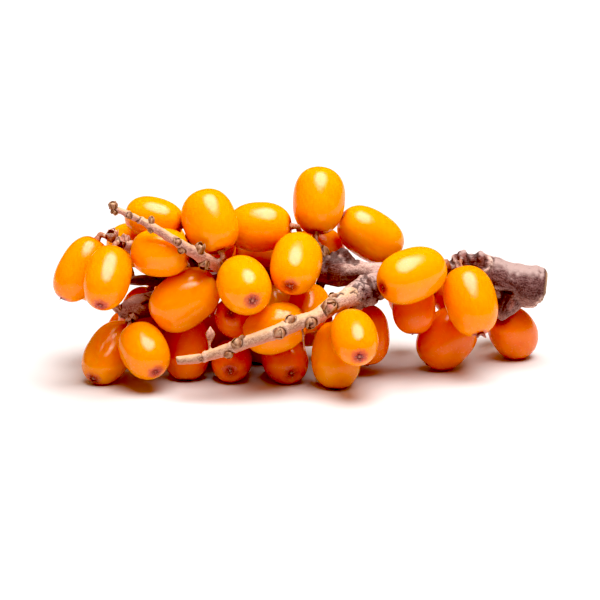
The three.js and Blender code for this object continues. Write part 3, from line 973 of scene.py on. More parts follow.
@dataclass
class DriedFlowers:
    """The dried flower at each berry's tip: a pit ringed by small torn lobes.

    Sizes are in millimetres, and the pairs are the least and most that are drawn, as shares of them.
    """

    lobes: int = 6
    radius: float = 0.34
    length: float = 0.42
    thick: float = 0.055
    sunk: float = 0.15
    seed: int = 23
    sizes: Pair = (0.85, 1.1)
    large: tuple[tuple[int, float], ...] = ((9, 2.1), (18, 1.4), (14, 1.25), (26, 1.25), (15, 1.2))
    tilts: Pair = (0.5, 1.45)
    lengths: Pair = (0.6, 1.25)
    widths: Pair = (0.75, 1.1)
    curls: Pair = (-0.4, 0.9)
    steps: tuple[float, ...] = (0.0, 0.5, 1.0)
    breadths: tuple[float, ...] = (1.0, 0.8, 0.16)
    curling: tuple[float, ...] = (0.0, 0.25, 0.8)
    paleness: tuple[float, ...] = (0.0, 0.3, 1.0)
    foot: float = 0.6
    lift_up: float = 0.5
    turn_off: float = 0.2
    pit_sides: int = 10
    pit_pale: tuple[float, ...] = (0.0, 0.0, 0.35, 1.0)
    pit_arc: float = 0.92
    pit_height: float = 0.45
    pit_sunk: float = 0.1

    LOBE_FACES = [
        (0, 1, 3, 2), (2, 3, 5, 4), (6, 8, 9, 7), (8, 10, 11, 9), (0, 6, 7, 1), (4, 5, 11, 10),
        (0, 2, 8, 6), (2, 4, 10, 8), (1, 7, 9, 3), (3, 9, 11, 5),
    ]

    def lobe(
        self, draw: np.random.Generator, turn: float, size: float
    ) -> tuple[np.ndarray, Faces, np.ndarray]:
        """One lobe round the origin, with the berry's axis as its third coordinate.

        Args:
            draw: the source of its tilt and length.
            turn: where it stands round the pit, in radians.
            size: how large the flower is against the others.

        Returns:
            Its vertices, its faces and how near each vertex is to the edge.
        """
        tilt = draw.uniform(*self.tilts)
        long = self.length * size * draw.uniform(*self.lengths)
        width = self.radius * size * draw.uniform(*self.widths)
        steps = np.array(self.steps)
        broad = width * np.array(self.breadths) / 2
        curl = tilt + np.array(self.curling) * draw.uniform(*self.curls)
        out = self.radius * size * self.foot + long * steps * np.sin(curl)
        up = long * steps * np.cos(curl)
        radial = np.array([math.cos(turn), math.sin(turn), 0.0])
        across = np.array([-math.sin(turn), math.cos(turn), 0.0])
        rows = []
        for lift in (0.0, self.thick * size):
            for step in range(len(steps)):
                height = np.array([0.0, 0.0, up[step] + lift * self.lift_up])
                middle = (out[step] + lift) * radial + height
                rows += [middle - broad[step] * across, middle + broad[step] * across]
        return np.array(rows), self.LOBE_FACES, np.tile(np.repeat(self.paleness, 2), 2)

    def pit(self, size: float) -> tuple[np.ndarray, Faces, np.ndarray]:
        """The domed pit in the middle of the lobes.

        Args:
            size: how large the flower is against the others.

        Returns:
            Its vertices, its faces and how pale each vertex is.
        """
        rows = len(self.pit_pale)
        share = np.linspace(0.0, 1.0, rows)
        radii = self.radius * size * np.cos(share * math.pi / 2 * self.pit_arc)
        line = np.zeros((rows, 3))
        line[:, 2] = self.radius * size * self.pit_height * np.sin(share * math.pi / 2) - self.pit_sunk
        return *tube(line, radii, self.pit_sides), np.repeat(self.pit_pale, self.pit_sides)

    def build(self, forms: list[BerryForm]) -> bpy.types.Object:
        """The flowers of all berries, as one piece.

        Args:
            forms: the berries' forms, in the order of their names.

        Returns:
            The piece.
        """
        draw = np.random.default_rng(self.seed)
        sheet = Sheet()
        large = dict(self.large)
        for number, form in enumerate(forms, 1):
            size = large.get(number, draw.uniform(*self.sizes))
            turned = standing_on(form.axis)
            root = form.middle + (form.half - self.sunk) * form.axis
            parts = [self.pit(size)]
            start = draw.uniform(0.0, 2.0 * math.pi)
            for i in range(self.lobes):
                turn = start + 2.0 * math.pi * (i + draw.uniform(-self.turn_off, self.turn_off)) / self.lobes
                parts.append(self.lobe(draw, turn, size))
            for places, faces, edge in parts:
                placed = root + places @ turned
                placed[:, 2] = np.maximum(placed[:, 2], 0.0)
                sheet.add(placed, faces, edge=edge)
        piece = sheet.make("dried_flowers")
        piece.data.materials.append(ScaleFinish.FLOWER.value.material())
        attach(piece, BODY)
        return piece


# -------------------------------------------------------------------------------------------- wood


class BarkKind(Enum):
    """What a limb's bark looks like."""

    OLD = "old"
    PINK = "pink"
    TAN = "tan"


@dataclass(frozen=True)
class Limb:
    """A limb of wood: across, up, back and radius at places along it, in millimetres."""

    course: Course
    kind: BarkKind = BarkKind.OLD
    young_from: float = 0.0

    STEP = 0.3

    def spans(self) -> np.ndarray:
        """The smooth line through the course.

        Returns:
            Places close together on it, each with its radius.
        """
        knots = np.array([[*in_sheet(*row[:3]), row[3]] for row in self.course])
        ends = [2 * knots[0] - knots[1], *knots, 2 * knots[-1] - knots[-2]]
        rows = []
        for a, b, c, d in zip(ends, ends[1:], ends[2:], ends[3:]):
            gaps = [math.sqrt(np.linalg.norm((q - p)[:3])) for p, q in ((a, b), (b, c), (c, d))]
            leave = (b - a) / gaps[0] - (c - a) / (gaps[0] + gaps[1]) + (c - b) / gaps[1]
            reach = (c - b) / gaps[1] - (d - b) / (gaps[1] + gaps[2]) + (d - c) / gaps[2]
            leave, reach = leave * gaps[1], reach * gaps[1]
            count = max(2, math.ceil(np.linalg.norm((c - b)[:3]) / self.STEP))
            t = np.linspace(0.0, 1.0, count, endpoint=False)[:, None]
            cubic = (2 * b - 2 * c + leave + reach) * t**3
            square = (-3 * b + 3 * c - 2 * leave - reach) * t**2
            row = cubic + square + leave * t + b
            row[:, 3] = b[3] + (c[3] - b[3]) * t[:, 0]
            rows.append(row)
        return np.concatenate([*rows, knots[-1:]])


@dataclass
class Track:
    """A limb's line with the directions across it, and how far along each place is."""

    limb: Limb
    line: np.ndarray = field(init=False)
    radii: np.ndarray = field(init=False)
    tangents: np.ndarray = field(init=False)
    sides: np.ndarray = field(init=False)
    tops: np.ndarray = field(init=False)
    lengths: np.ndarray = field(init=False)

    def __post_init__(self) -> None:
        """Works out the line from the limb's course."""
        spans = self.limb.spans()
        self.line, self.radii = spans[:, :3], spans[:, 3]
        self.tangents = unit(np.gradient(self.line, axis=0))
        self.sides, self.tops = carried_frame(self.tangents)
        steps = np.linalg.norm(np.diff(self.line, axis=0), axis=1)
        self.lengths = np.concatenate([[0.0], np.cumsum(steps)])

    def at(self, share: float) -> int:
        """The index of the place at a share of the whole length."""
        return int(np.argmin(np.abs(self.lengths - share * self.lengths[-1])))

    def root(self, share: float, turn: float, sunk: float) -> tuple[np.ndarray, np.ndarray, np.ndarray]:
        """A place on the skin.

        Args:
            share: how far along the limb it is.
            turn: degrees round from the top towards the front.
            sunk: how far below the skin it is, in millimetres.

        Returns:
            The place, the direction outwards and the direction along the limb.
        """
        spot = self.at(share)
        along = self.tangents[spot]
        front = unit(-SHEET_AXES[2] + np.dot(SHEET_AXES[2], along) * along)
        top = np.cross(along, front)
        top *= np.sign(np.dot(top, SHEET_AXES[1]))
        out = math.cos(math.radians(turn)) * top + math.sin(math.radians(turn)) * front
        return self.line[spot] + (self.radii[spot] - sunk) * out, out, along


LIMBS: dict[str, Limb] = {
    "stem": Limb(
        (
            (39.5, 16.5, 12.0, 2.2), (39.0, 16.55, 12.0, 2.9), (37.8, 16.6, 12.0, 3.4),
            (35.6, 16.9, 11.8, 3.3), (33.0, 17.5, 11.6, 3.1), (30.6, 18.8, 11.2, 2.7),
            (28.6, 19.8, 10.8, 2.1), (25.6, 20.0, 10.4, 1.5), (22.3, 18.8, 10.0, 1.1),
            (15.9, 18.9, 9.4, 1.4), (10.3, 18.9, 8.4, 1.7), (6.3, 19.3, 7.6, 2.7),
            (3.4, 19.5, 7.4, 2.4), (-1.0, 19.0, 7.5, 1.2), (-8.1, 18.5, 7.6, 1.0),
            (-16.1, 18.0, 7.4, 0.95), (-22.5, 17.7, 7.0, 1.0), (-28.2, 17.6, 6.4, 0.7),
        )
    ),
    "upper_shoot": Limb(
        (
            (-5.5, 18.8, 7.6, 1.0), (-8.8, 18.7, 5.0, 1.0), (-11.8, 19.2, 1.2, 1.0),
            (-13.6, 20.1, -2.2, 0.95), (-15.4, 21.1, -5.0, 0.95), (-17.6, 22.4, -6.8, 0.85),
            (-20.2, 24.0, -7.6, 0.72), (-23.4, 26.0, -7.4, 0.66), (-27.0, 27.9, -6.5, 0.52),
            (-30.2, 29.3, -5.6, 0.46),
        ),
        kind=BarkKind.PINK,
        young_from=6.0,
    ),
    "lower_shoot": Limb(
        (
            (13.4, 18.2, 8.8, 1.4), (12.4, 16.9, 5.6, 2.0), (10.8, 16.0, 2.2, 2.3),
            (9.2, 15.3, -0.4, 2.2), (7.4, 14.8, -2.4, 1.5), (5.0, 13.6, -4.2, 1.35),
            (2.6, 11.85, -5.8, 1.2), (-0.2, 10.95, -7.0, 1.15), (-3.7, 9.5, -8.1, 1.1),
            (-7.7, 8.1, -8.7, 1.0), (-12.7, 6.3, -8.4, 0.9), (-16.5, 5.2, -7.6, 0.75),
            (-19.6, 4.9, -6.8, 0.65),
        ),
        kind=BarkKind.TAN,
        young_from=12.4,
    ),
    "left_twig": Limb(
        (
            (-21.0, 17.7, 7.2, 0.8), (-24.6, 20.4, 4.6, 0.8), (-27.6, 23.1, 1.8, 0.75),
            (-30.7, 24.5, 0.6, 0.6),
        ),
        kind=BarkKind.PINK,
        young_from=8.5,
    ),
    "left_spur": Limb(
        (
            (-19.6, 17.6, 7.2, 1.0), (-21.6, 15.4, 6.6, 1.5), (-23.8, 13.9, 5.2, 1.9),
            (-26.4, 13.2, 4.0, 1.95), (-28.0, 12.7, 3.4, 1.4), (-29.1, 12.2, 3.0, 0.7),
        )
    ),
    "top_spur": Limb(((1.6, 19.8, 7.5, 0.9), (0.8, 22.6, 8.0, 0.8), (0.2, 24.6, 8.2, 0.55)), BarkKind.PINK),
    "hanging_spur": Limb(
        (
            (34.8, 16.4, 11.6, 1.9), (33.7, 14.4, 11.6, 2.0), (32.6, 12.6, 11.8, 1.3),
            (32.0, 11.4, 12.0, 0.6),
        )
    ),
    "back_spur_right": Limb(((20.5, 19.2, 9.8, 1.0), (21.6, 19.4, 12.0, 0.9), (22.4, 19.2, 13.6, 0.6))),
    "back_spur_middle": Limb(((-1.0, 19.2, 7.5, 0.9), (-2.2, 18.6, 11.0, 0.8), (-3.4, 16.8, 15.2, 0.6))),
    "back_spur_left": Limb(((-15.0, 18.0, 7.4, 0.9), (-15.8, 17.4, 11.0, 0.8), (-16.4, 16.2, 15.4, 0.6))),
    "inner_spur_high": Limb(((-16.1, 18.0, 7.4, 0.8), (-17.4, 21.4, 5.6, 0.7), (-18.2, 23.8, 4.2, 0.5))),
    "inner_spur_left": Limb(((-20.0, 17.8, 7.2, 0.8), (-20.6, 14.0, 9.2, 0.7), (-21.2, 11.0, 10.4, 0.5))),
    "inner_spur_middle": Limb(((-8.8, 18.4, 7.6, 0.8), (-9.2, 14.6, 9.2, 0.7), (-10.0, 11.2, 10.2, 0.5))),
    "inner_spur_right": Limb(((3.4, 18.6, 7.4, 0.8), (2.6, 14.8, 9.4, 0.7), (1.6, 11.6, 9.6, 0.5))),
    "back_spur_knob": Limb(((29.0, 19.2, 10.8, 1.0), (30.2, 19.6, 14.0, 0.9), (30.8, 19.8, 15.6, 0.6))),
}


class BudKind(Enum):
    """What grows at a node of the wood."""

    GNARL = "gnarl"
    ROUND = "round"
    SCALY = "scaly"


@dataclass(frozen=True)
class Bud:
    """A bud or gnarl: its limb, the share along it, degrees round from the top to the front, and its size."""

    limb: str
    share: float
    turn: float
    radius: float
    stretch: float
    kind: BudKind

    SUNK = 0.3


def buds_on(limb: str, kind: BudKind, *rows: tuple[float, float, float, float]) -> list[Bud]:
    """Buds of one kind along a limb, from rows of share, turn, radius and stretch."""
    return [Bud(limb, *row, kind) for row in rows]


BUDS: list[Bud] = [
    *buds_on(
        "stem",
        BudKind.GNARL,
        (0.206, 22, 1.65, 1.05), (0.172, 38, 1.6, 0.95), (0.215, 330, 1.2, 1.0), (0.11, 150, 1.2, 0.8),
        (0.24, 80, 0.9, 1.0), (0.38, 60, 0.8, 0.8), (0.495, 10, 1.7, 1.1), (0.45, 190, 1.1, 0.9),
        (0.7, 200, 0.8, 0.9), (0.86, 300, 0.7, 0.9),
    ),
    *buds_on("stem", BudKind.SCALY, (0.535, 15, 0.9, 1.4), (0.55, 45, 0.85, 1.2)),
    *buds_on("lower_shoot", BudKind.GNARL, (0.2, 30, 1.3, 0.9), (0.26, 200, 1.1, 0.9)),
    *buds_on(
        "lower_shoot",
        BudKind.ROUND,
        (0.4, 85, 1.15, 1.0), (0.365, 25, 0.6, 1.2), (0.49, 130, 0.9, 1.0), (0.555, 25, 0.85, 0.9),
        (0.618, 115, 0.9, 0.9), (0.765, 60, 0.8, 1.0), (0.745, 5, 0.6, 1.0), (0.81, 165, 0.75, 1.0),
        (0.905, 112, 0.28, 0.8),
    ),
    *buds_on(
        "upper_shoot",
        BudKind.SCALY,
        (0.475, 150, 0.75, 1.2), (0.53, 15, 0.75, 1.4), (0.795, 10, 0.45, 1.8),
        (0.965, 185, 0.45, 1.2), (0.985, 40, 0.6, 1.1),
    ),
    *buds_on(
        "upper_shoot",
        BudKind.ROUND,
        (0.605, 165, 0.6, 1.1), (0.645, 75, 0.6, 0.9), (0.774, 175, 0.45, 1.1),
        (0.895, 110, 0.45, 1.0),
    ),
    *buds_on("left_twig", BudKind.SCALY, (0.68, 40, 0.8, 1.3), (0.78, 340, 0.6, 1.4), (0.86, 100, 0.85, 1.4)),
    *buds_on("left_twig", BudKind.SCALY, (0.93, 10, 0.65, 1.5), (0.985, 60, 0.75, 1.5)),
    *buds_on("left_spur", BudKind.GNARL, (0.5, 40, 0.8, 0.9)),
    *buds_on("left_spur", BudKind.SCALY, (0.86, 150, 0.75, 1.1), (0.97, 20, 0.55, 1.8)),
    *buds_on("top_spur", BudKind.SCALY, (0.8, 300, 0.5, 1.2)),
]


@dataclass
class BarkMap:
    """Where every vertex of the wood is against the limbs, and which way it faces."""

    places: np.ndarray
    normals: np.ndarray
    tracks: dict[str, Track]
    noise: LatticeNoise
    limb: np.ndarray = field(init=False)
    grain: np.ndarray = field(init=False)
    clear: np.ndarray = field(init=False)
    spots: np.ndarray = field(init=False)
    front: np.ndarray = field(init=False)
    ragged: np.ndarray = field(init=False)

    FACING = (0.75, 0.2)
    RAGGED_SIZE = 0.62
    RAGGED_SHIFT = 71.0
    YOUNG_SPAN = (1.0, 1.2)
    YOUNG_WANDER = 0.8

    def __post_init__(self) -> None:
        """Finds the nearest limb to each vertex and its place in that limb's own grain."""
        count = len(self.places)
        self.limb = np.zeros(count, int)
        self.clear = np.full(count, np.inf)
        self.grain = np.zeros((count, 3))
        for number, track in enumerate(self.tracks.values()):
            self.follow(number, track)
        self.spots = ((self.places + SPRIG_MIDDLE) @ SHEET_AXES.T)[:, :2]
        self.front = ease(*self.FACING, self.normals @ SHEET_AXES[2])
        self.ragged = self.noise.layers(self.places / self.RAGGED_SIZE + self.RAGGED_SHIFT, 2)

    def follow(self, number: int, track: Track) -> None:
        """Takes the vertices that are nearer to a limb than to the ones before it.

        Args:
            number: the limb's number.
            track: its line.
        """
        flat = np.sum(self.places**2, axis=1)[:, None] + np.sum(track.line**2, axis=1)[None]
        squares = flat - 2.0 * self.places @ track.line.T
        spot = np.argmin(np.sqrt(np.maximum(squares, 0.0)) - track.radii[None], axis=1)
        away = self.places - track.line[spot]
        on = np.sum(away * track.tangents[spot], axis=1)
        side = np.sum(away * track.sides[spot], axis=1)
        top = np.sum(away * track.tops[spot], axis=1)
        clear = np.linalg.norm(away, axis=1) - track.radii[spot]
        nearer = clear < self.clear
        self.limb[nearer] = number
        self.clear[nearer] = clear[nearer]
        self.grain[nearer] = np.stack([track.lengths[spot] + on, side, top], axis=1)[nearer]

    def on(self, limb: str) -> np.ndarray:
        """Whether each vertex is on a limb."""
        return self.limb == list(self.tracks).index(limb)

    def young(self, kind: BarkKind) -> np.ndarray:
        """How young the bark of a kind is.

        Args:
            kind: the kind of bark.

        Returns:
            One number from 0 to 1 for each vertex.
        """
        total = np.zeros(len(self.places))
        before, after = self.YOUNG_SPAN
        for name, track in self.tracks.items():
            if track.limb.kind is kind:
                start = track.limb.young_from
                along = self.grain[:, 0] + self.YOUNG_WANDER * self.ragged
                grown = ease(start - before, start + after, along)
                total = np.where(self.on(name), grown, total)
        return total


@dataclass(frozen=True)
class Feature:
    """How far something on the bark stands out, in millimetres, and how pale, red or dark it is."""

    rise: float = 0.0
    pale: float = 0.0
    red: float = 0.0
    dark: float = 0.0

    def scaled(self, factor: float) -> "Feature":
        """The feature with its rise made larger by a factor."""
        return replace(self, rise=self.rise * factor)


class Relief:
    """How far each vertex of the bark stands out, and how pale, red or dark it is there."""

    def __init__(self, count: int) -> None:
        """Starts with smooth, even bark.

        Args:
            count: how many vertices there are.
        """
        self.height = np.zeros(count)
        # how dark each vertex is, from its cracks and from painted shade
        self.groove = np.zeros(count)
        # how pale each vertex is, from its scars and from painted light
        self.scar = np.zeros(count)
        self.red = np.zeros(count)

    def carve(self, share: np.ndarray, feature: Feature) -> None:
        """Adds a feature.

        Args:
            share: how much of the feature each vertex has.
            feature: what it is like.
        """
        self.height += feature.rise * share
        self.groove += feature.dark * share
        self.scar = np.maximum(self.scar, feature.pale * share)
        self.red = np.maximum(self.red, feature.red * share)


@dataclass(frozen=True)
class Mark:
    """A line on a limb's front that stands out or in, or has its own colour, painted light or painted shade.

    Its line is given across and up the leaning sheet, and its width and rise in millimetres.
    """

    line: tuple[Pair, ...]
    width: float
    rise: float = 0.0
    pale: float = 0.0
    red: float = 0.0
    dark: float = 0.0
    ragged: float = 0.0

    def feature(self) -> Feature:
        """What the bark is like along the line."""
        return Feature(self.rise, self.pale, self.red, self.dark)

    def near(self, bark: BarkMap, limb: str) -> np.ndarray:
        """How near each vertex is to the line.

        Args:
            bark: the vertices against the limbs.
            limb: the limb that has the mark.

        Returns:
            One number from 0 to 1 for each vertex.
        """
        gap = np.full(len(bark.spots), np.inf)
        for start, end in itertools.pairwise(np.array(self.line)):
            along = end - start
            share = np.clip((bark.spots - start) @ along / (along @ along), 0.0, 1.0)
            gap = np.minimum(gap, np.linalg.norm(bark.spots - start - share[:, None] * along, axis=1))
        gap = np.maximum(gap + self.ragged * bark.ragged, 0.0)
        return bell(gap, self.width) * bark.on(limb) * bark.front


MARKS: dict[str, tuple[Mark, ...]] = {
    "stem": (
        Mark(
            ((30.0, 22.0), (30.4, 21.4), (30.7, 20.6), (30.4, 19.8), (29.6, 19.2)),
            0.34, rise=0.22, pale=0.95, ragged=0.08,
        ),
        # painted shade: a crease beside the pale crescent, painted dark where shade falls in it
        Mark(((29.5, 21.7), (29.9, 20.7), (29.6, 19.8)), 0.24, rise=-0.14, dark=0.6, ragged=0.1),
        Mark(((24.4, 21.4), (24.8, 20.7), (25.0, 19.7)), 0.32, rise=0.22, pale=0.95, ragged=0.08),
        # painted shade: the next two creases, painted dark where shade falls in them
        Mark(((25.1, 22.0), (25.3, 20.9), (25.6, 19.9)), 0.2, rise=-0.12, dark=0.7, ragged=0.1),
        Mark(((27.4, 22.9), (28.0, 21.8), (28.4, 20.6)), 0.24, rise=-0.16, dark=0.85, ragged=0.1),
        Mark(((23.2, 20.1), (24.0, 19.8), (24.7, 19.9)), 0.4, rise=0.1, pale=0.75, ragged=0.1),
        # painted shade: the hollow where the hanging spur leaves the stem is painted dark as well as sunk
        Mark(((32.4, 15.5), (33.6, 15.4)), 0.42, rise=-0.7, dark=1.3, ragged=0.1),
        Mark(((31.9, 16.2), (32.8, 16.2), (34.0, 15.9)), 0.3, rise=0.22, pale=0.15),
        Mark(((31.3, 16.5), (31.9, 16.0)), 0.3, rise=0.25, pale=0.7, ragged=0.1),
        Mark(
            ((38.9, 14.9), (38.2, 13.9), (37.3, 13.3), (36.4, 13.2)),
            0.26, rise=0.12, pale=1.0, ragged=0.3,
        ),
        Mark(((38.3, 15.9), (37.5, 14.6), (36.2, 14.0)), 0.22, rise=-0.12, dark=0.6, ragged=0.3),
        # painted light, on bark that is paler there too: the two pale bands on the swollen node's upper front
        Mark(((7.3, 19.6), (8.8, 19.8), (12.4, 19.6)), 0.85, pale=0.75, ragged=0.15),
        Mark(((8.8, 20.1), (10.4, 20.0), (12.6, 19.8)), 1.1, pale=0.8, ragged=0.2),
        Mark(((39.4, 14.5), (38.7, 13.3)), 0.85, rise=-0.75, pale=0.9, ragged=0.55),
        Mark(((6.7, 22.6), (7.7, 21.8), (8.9, 21.0)), 0.75, red=0.4, dark=1.0, ragged=0.2),
        Mark(((4.4, 21.3), (5.3, 20.1), (4.9, 18.4)), 1.45, red=0.9, dark=0.75, ragged=0.3),
        # painted shade: this crease and the one two lines below, painted dark where shade falls in them
        Mark(((6.3, 22.6), (5.0, 21.0), (4.0, 19.6)), 0.26, rise=-0.2, dark=0.9, ragged=0.12),
        Mark(((6.9, 22.6), (6.1, 21.5), (5.5, 20.2)), 0.3, rise=0.14, pale=0.3, ragged=0.12),
        Mark(((3.7, 20.6), (4.5, 19.3), (4.4, 17.8)), 0.26, rise=-0.14, dark=0.7, ragged=0.15),
    ),
    "hanging_spur": (
        # painted shade: the same hollow, painted dark as well as sunk
        Mark(((32.4, 15.5), (33.6, 15.4)), 0.42, rise=-0.7, dark=1.3, ragged=0.1),
        Mark(((33.0, 14.6), (32.8, 13.5), (32.4, 12.4)), 0.3, rise=-0.16, dark=0.7, ragged=0.15),
        Mark(((34.0, 14.8), (34.1, 13.8), (33.5, 12.9)), 0.3, rise=0.14, red=0.7, ragged=0.15),
        Mark(((31.9, 11.9), (31.9, 11.0)), 0.45, red=0.9, pale=0.35),
    ),
    "lower_shoot": (
        Mark(((5.8, 15.1), (6.3, 15.6), (6.8, 15.4)), 0.22, rise=-0.2, dark=1.1, ragged=0.1),
        Mark(((7.9, 15.6), (8.5, 15.8), (8.8, 15.4)), 0.22, rise=-0.2, dark=1.1, ragged=0.12),
        Mark(((8.4, 16.7), (9.0, 16.4)), 0.2, rise=-0.2, dark=1.1, ragged=0.12),
        Mark(((9.6, 17.7), (10.1, 16.9), (10.0, 15.9)), 0.2, rise=-0.2, dark=1.0, ragged=0.15),
        Mark(
            ((10.3, 18.2), (11.1, 17.2), (11.7, 15.9), (12.4, 14.5)),
            0.28, rise=-0.25, dark=1.2, ragged=0.15,
        ),
        Mark(((6.0, 14.6), (7.2, 14.3), (8.4, 14.8)), 0.75, pale=0.7, ragged=0.25),
        Mark(((7.1, 16.2), (8.2, 17.2), (9.5, 18.2)), 0.4, rise=0.08, pale=0.7, ragged=0.25),
        Mark(((4.5, 13.8), (5.0, 13.0), (4.7, 12.2)), 0.42, rise=0.08, red=1.0, pale=0.3, ragged=0.15),
        Mark(((3.4, 13.5), (3.7, 12.6), (4.2, 11.9)), 0.24, rise=-0.14, dark=0.9, ragged=0.12),
        Mark(((4.2, 14.2), (4.8, 14.0), (5.5, 13.4)), 0.2, rise=-0.14, dark=0.9, ragged=0.12),
        Mark(((2.3, 11.1), (3.4, 11.4), (4.8, 12.1)), 0.4, red=0.7, ragged=0.15),
        Mark(((0.4, 9.7), (1.2, 10.3), (1.8, 10.8)), 0.22, rise=-0.16, dark=1.0, ragged=0.1),
        Mark(((-15.8, 6.2), (-15.6, 5.5), (-15.6, 4.7)), 0.2, rise=-0.16, dark=0.8, ragged=0.06),
        Mark(((-15.2, 6.2), (-15.1, 5.4), (-15.2, 4.9)), 0.35, rise=0.12, pale=0.4),
    ),
    "left_spur": (
        # painted highlight: the pale parts of these marks stand in for light on the spur's top; the red is
        # the bark's own
        Mark(((-27.3, 14.5), (-26.2, 15.0), (-24.8, 14.8)), 0.34, rise=0.16, pale=0.8, ragged=0.2),
        Mark(((-28.2, 12.6), (-26.4, 13.2), (-24.6, 13.8)), 1.5, pale=0.16, red=0.8, ragged=0.5),
        Mark(((-25.2, 13.9), (-24.5, 14.2)), 0.26, rise=-0.2, dark=1.2, ragged=0.1),
        Mark(((-26.4, 13.0), (-25.6, 13.7), (-24.9, 12.9)), 0.5, rise=0.05, pale=0.4, red=0.5, ragged=0.2),
    ),
    "upper_shoot": (
        Mark(((-14.6, 22.1), (-12.4, 20.6)), 0.75, pale=0.55, ragged=0.2),
    ),
}


@dataclass(frozen=True)
class Texture:
    """Noise on the wood: the size of its features in millimetres, a shift and how many layers it has."""

    size: float
    shift: float
    layers: int = 2

    def at(self, noise: LatticeNoise, places: np.ndarray) -> np.ndarray:
        """The noise at each place, from about -1 to 1."""
        return noise.layers(places / self.size + self.shift, self.layers)


@dataclass(frozen=True)
class GrainTexture:
    """Noise that follows a limb: how many features to a millimetre, along it and across it."""

    pitch: Triple
    shift: float = 0.0
    layers: int = 2

    def at(self, noise: LatticeNoise, grain: np.ndarray) -> np.ndarray:
        """The noise at each place in the limb's own grain, from about -1 to 1."""
        return noise.layers(grain * self.pitch + self.shift, self.layers)


@dataclass(frozen=True)
class PlatedFoot:
    """The plates of thick old bark round the lower shoot's foot, with cracks between them."""

    limb: str = "lower_shoot"
    reach: tuple[float, ...] = (3.2, 4.6, 12.2, 13.6)  # where it starts, is full, still full and ends
    size: float = 1.5
    bend: float = 0.7
    bend_axes: Triple = (1.0, 0.5, -0.8)
    seam_shift: float = 3.0
    seam_span: Pair = (0.02, 0.12)
    breaks: Texture = Texture(1.3, 21.0, 1)
    break_span: Pair = (-0.5, 0.1)
    swell_shift: float = 8.0
    swell: float = 0.6
    plate: Feature = Feature(0.16, pale=0.42)
    crack_and_shade: Feature = Feature(-0.22, dark=1.0)

    def carve(self, relief: Relief, bark: BarkMap) -> None:
        """Raises the plates and cuts the cracks.

        Args:
            relief: takes the features.
            bark: the vertices against the limbs.
        """
        noise, along, places = bark.noise, bark.grain[:, 0], bark.places
        low, start, end, high = self.reach
        foot = ease(low, start, along) * ease(high, end, along) * bark.on(self.limb)
        bent = places + self.size * self.bend * bark.ragged[:, None] * self.bend_axes
        seam = 1.0 - ease(*self.seam_span, noise.seams(bent / self.size + self.seam_shift))
        broken = ease(*self.break_span, self.breaks.at(noise, places))
        swell = self.swell + noise.at(places / self.size + self.swell_shift)
        relief.carve(foot * swell, self.plate)
        relief.carve(foot * seam * broken, self.crack_and_shade)


@dataclass(frozen=True)
class BudFoot:
    """The rings and folds of bark round a bud or gnarl, with painted shade in them, in shares of the bud's
    radius.
    """

    lowest: Pair = (-0.6, 0.0)
    outermost: Pair = (2.4, 1.7)
    folds: Triple = (8.0, 2.0, 1.5)  # how many, their twist and how they wander
    fold_span: Pair = (0.05, 0.4)
    fold: Feature = Feature(0.035)
    fold_shadow: Feature = Feature(dark=0.5)
    blush_span: Pair = (1.5, 0.7)
    blush: Feature = Feature(red=0.55)
    dent_place: Pair = (1.3, 0.16)  # how far out, and how wide
    # painted shade: the dent round a gnarl is painted dark as well as sunk
    dent: Feature = Feature(-0.1, dark=0.55)
    # painted shade: how the dark ring round a bud grows stronger on one side, as a shadow crescent
    shade: Triple = (0.65, 0.35, 4.0)  # even, uneven, and where it starts, in radians
    ring_at: float = 1.12
    ring_wander: float = 0.12
    ring_width: float = 0.17
    least_ring: float = 0.14
    # painted shade: the ring's groove is painted dark as well as sunk
    ring: Feature = Feature(-0.14, dark=1.5)
    cushion_place: Pair = (1.55, 0.24)  # how far out, and how wide
    cushion: Feature = Feature(0.14, pale=0.35)

    def carve(self, relief: Relief, bark: BarkMap, bud: Bud) -> None:
        """Carves the bark round one bud.

        Args:
            relief: takes the features.
            bark: the vertices against the limbs.
            bud: the bud.
        """
        root, out, along, radius = bud_root(bud, bark.tracks)
        away = bark.places - root
        up = away @ out
        on, side = away @ along, away @ np.cross(out, along)
        level = np.hypot(on, side) / radius
        outer = ease(*self.lowest, up / radius) * ease(*self.outermost, level)
        turn = np.arctan2(side, on)
        if bud.kind is BudKind.GNARL:
            self.gnarl(relief, radius, outer, level, self.wave(bark, level, turn))
            return
        # painted shade: the ring is darker and deeper on one side of the bud, as a shadow crescent
        even, uneven, start = self.shade
        shade = even + uneven * np.sin(turn + start)
        wandering = level - self.ring_at + self.ring_wander * bark.ragged
        ring = outer * bell(wandering, max(self.ring_width, self.least_ring / radius))
        relief.carve(ring * shade, self.ring.scaled(radius))
        place, width = self.cushion_place
        relief.carve(outer * bell(level - place, width), self.cushion.scaled(radius))

    def wave(self, bark: BarkMap, level: np.ndarray, turn: np.ndarray) -> np.ndarray:
        """The folds' wave round a gnarl.

        Args:
            bark: the vertices against the limbs.
            level: how far each vertex is from the gnarl's middle.
            turn: where it is round the gnarl, in radians.

        Returns:
            One number from -1 to 1 for each vertex.
        """
        count, twist, wander = self.folds
        return np.sin(count * level + twist * turn + wander * bark.ragged)

    def gnarl(
        self, relief: Relief, radius: float, outer: np.ndarray, level: np.ndarray, wave: np.ndarray
    ) -> None:
        """Carves the folds, the red blush and the dent round a gnarl, with painted shade in the folds'
        troughs and in the dent.

        Args:
            relief: takes the features.
            radius: the gnarl's radius.
            outer: how much each vertex is on the bark round the gnarl.
            level: how far it is from the gnarl's middle.
            wave: the folds' wave there.
        """
        fold = wave * outer * ease(*self.fold_span, level)
        relief.carve(fold, self.fold.scaled(radius))
        relief.carve(np.maximum(-fold, 0.0), self.fold_shadow)
        relief.carve(outer * ease(*self.blush_span, level), self.blush)
        place, width = self.dent_place
        relief.carve(outer * bell(level - place, width), self.dent.scaled(radius))


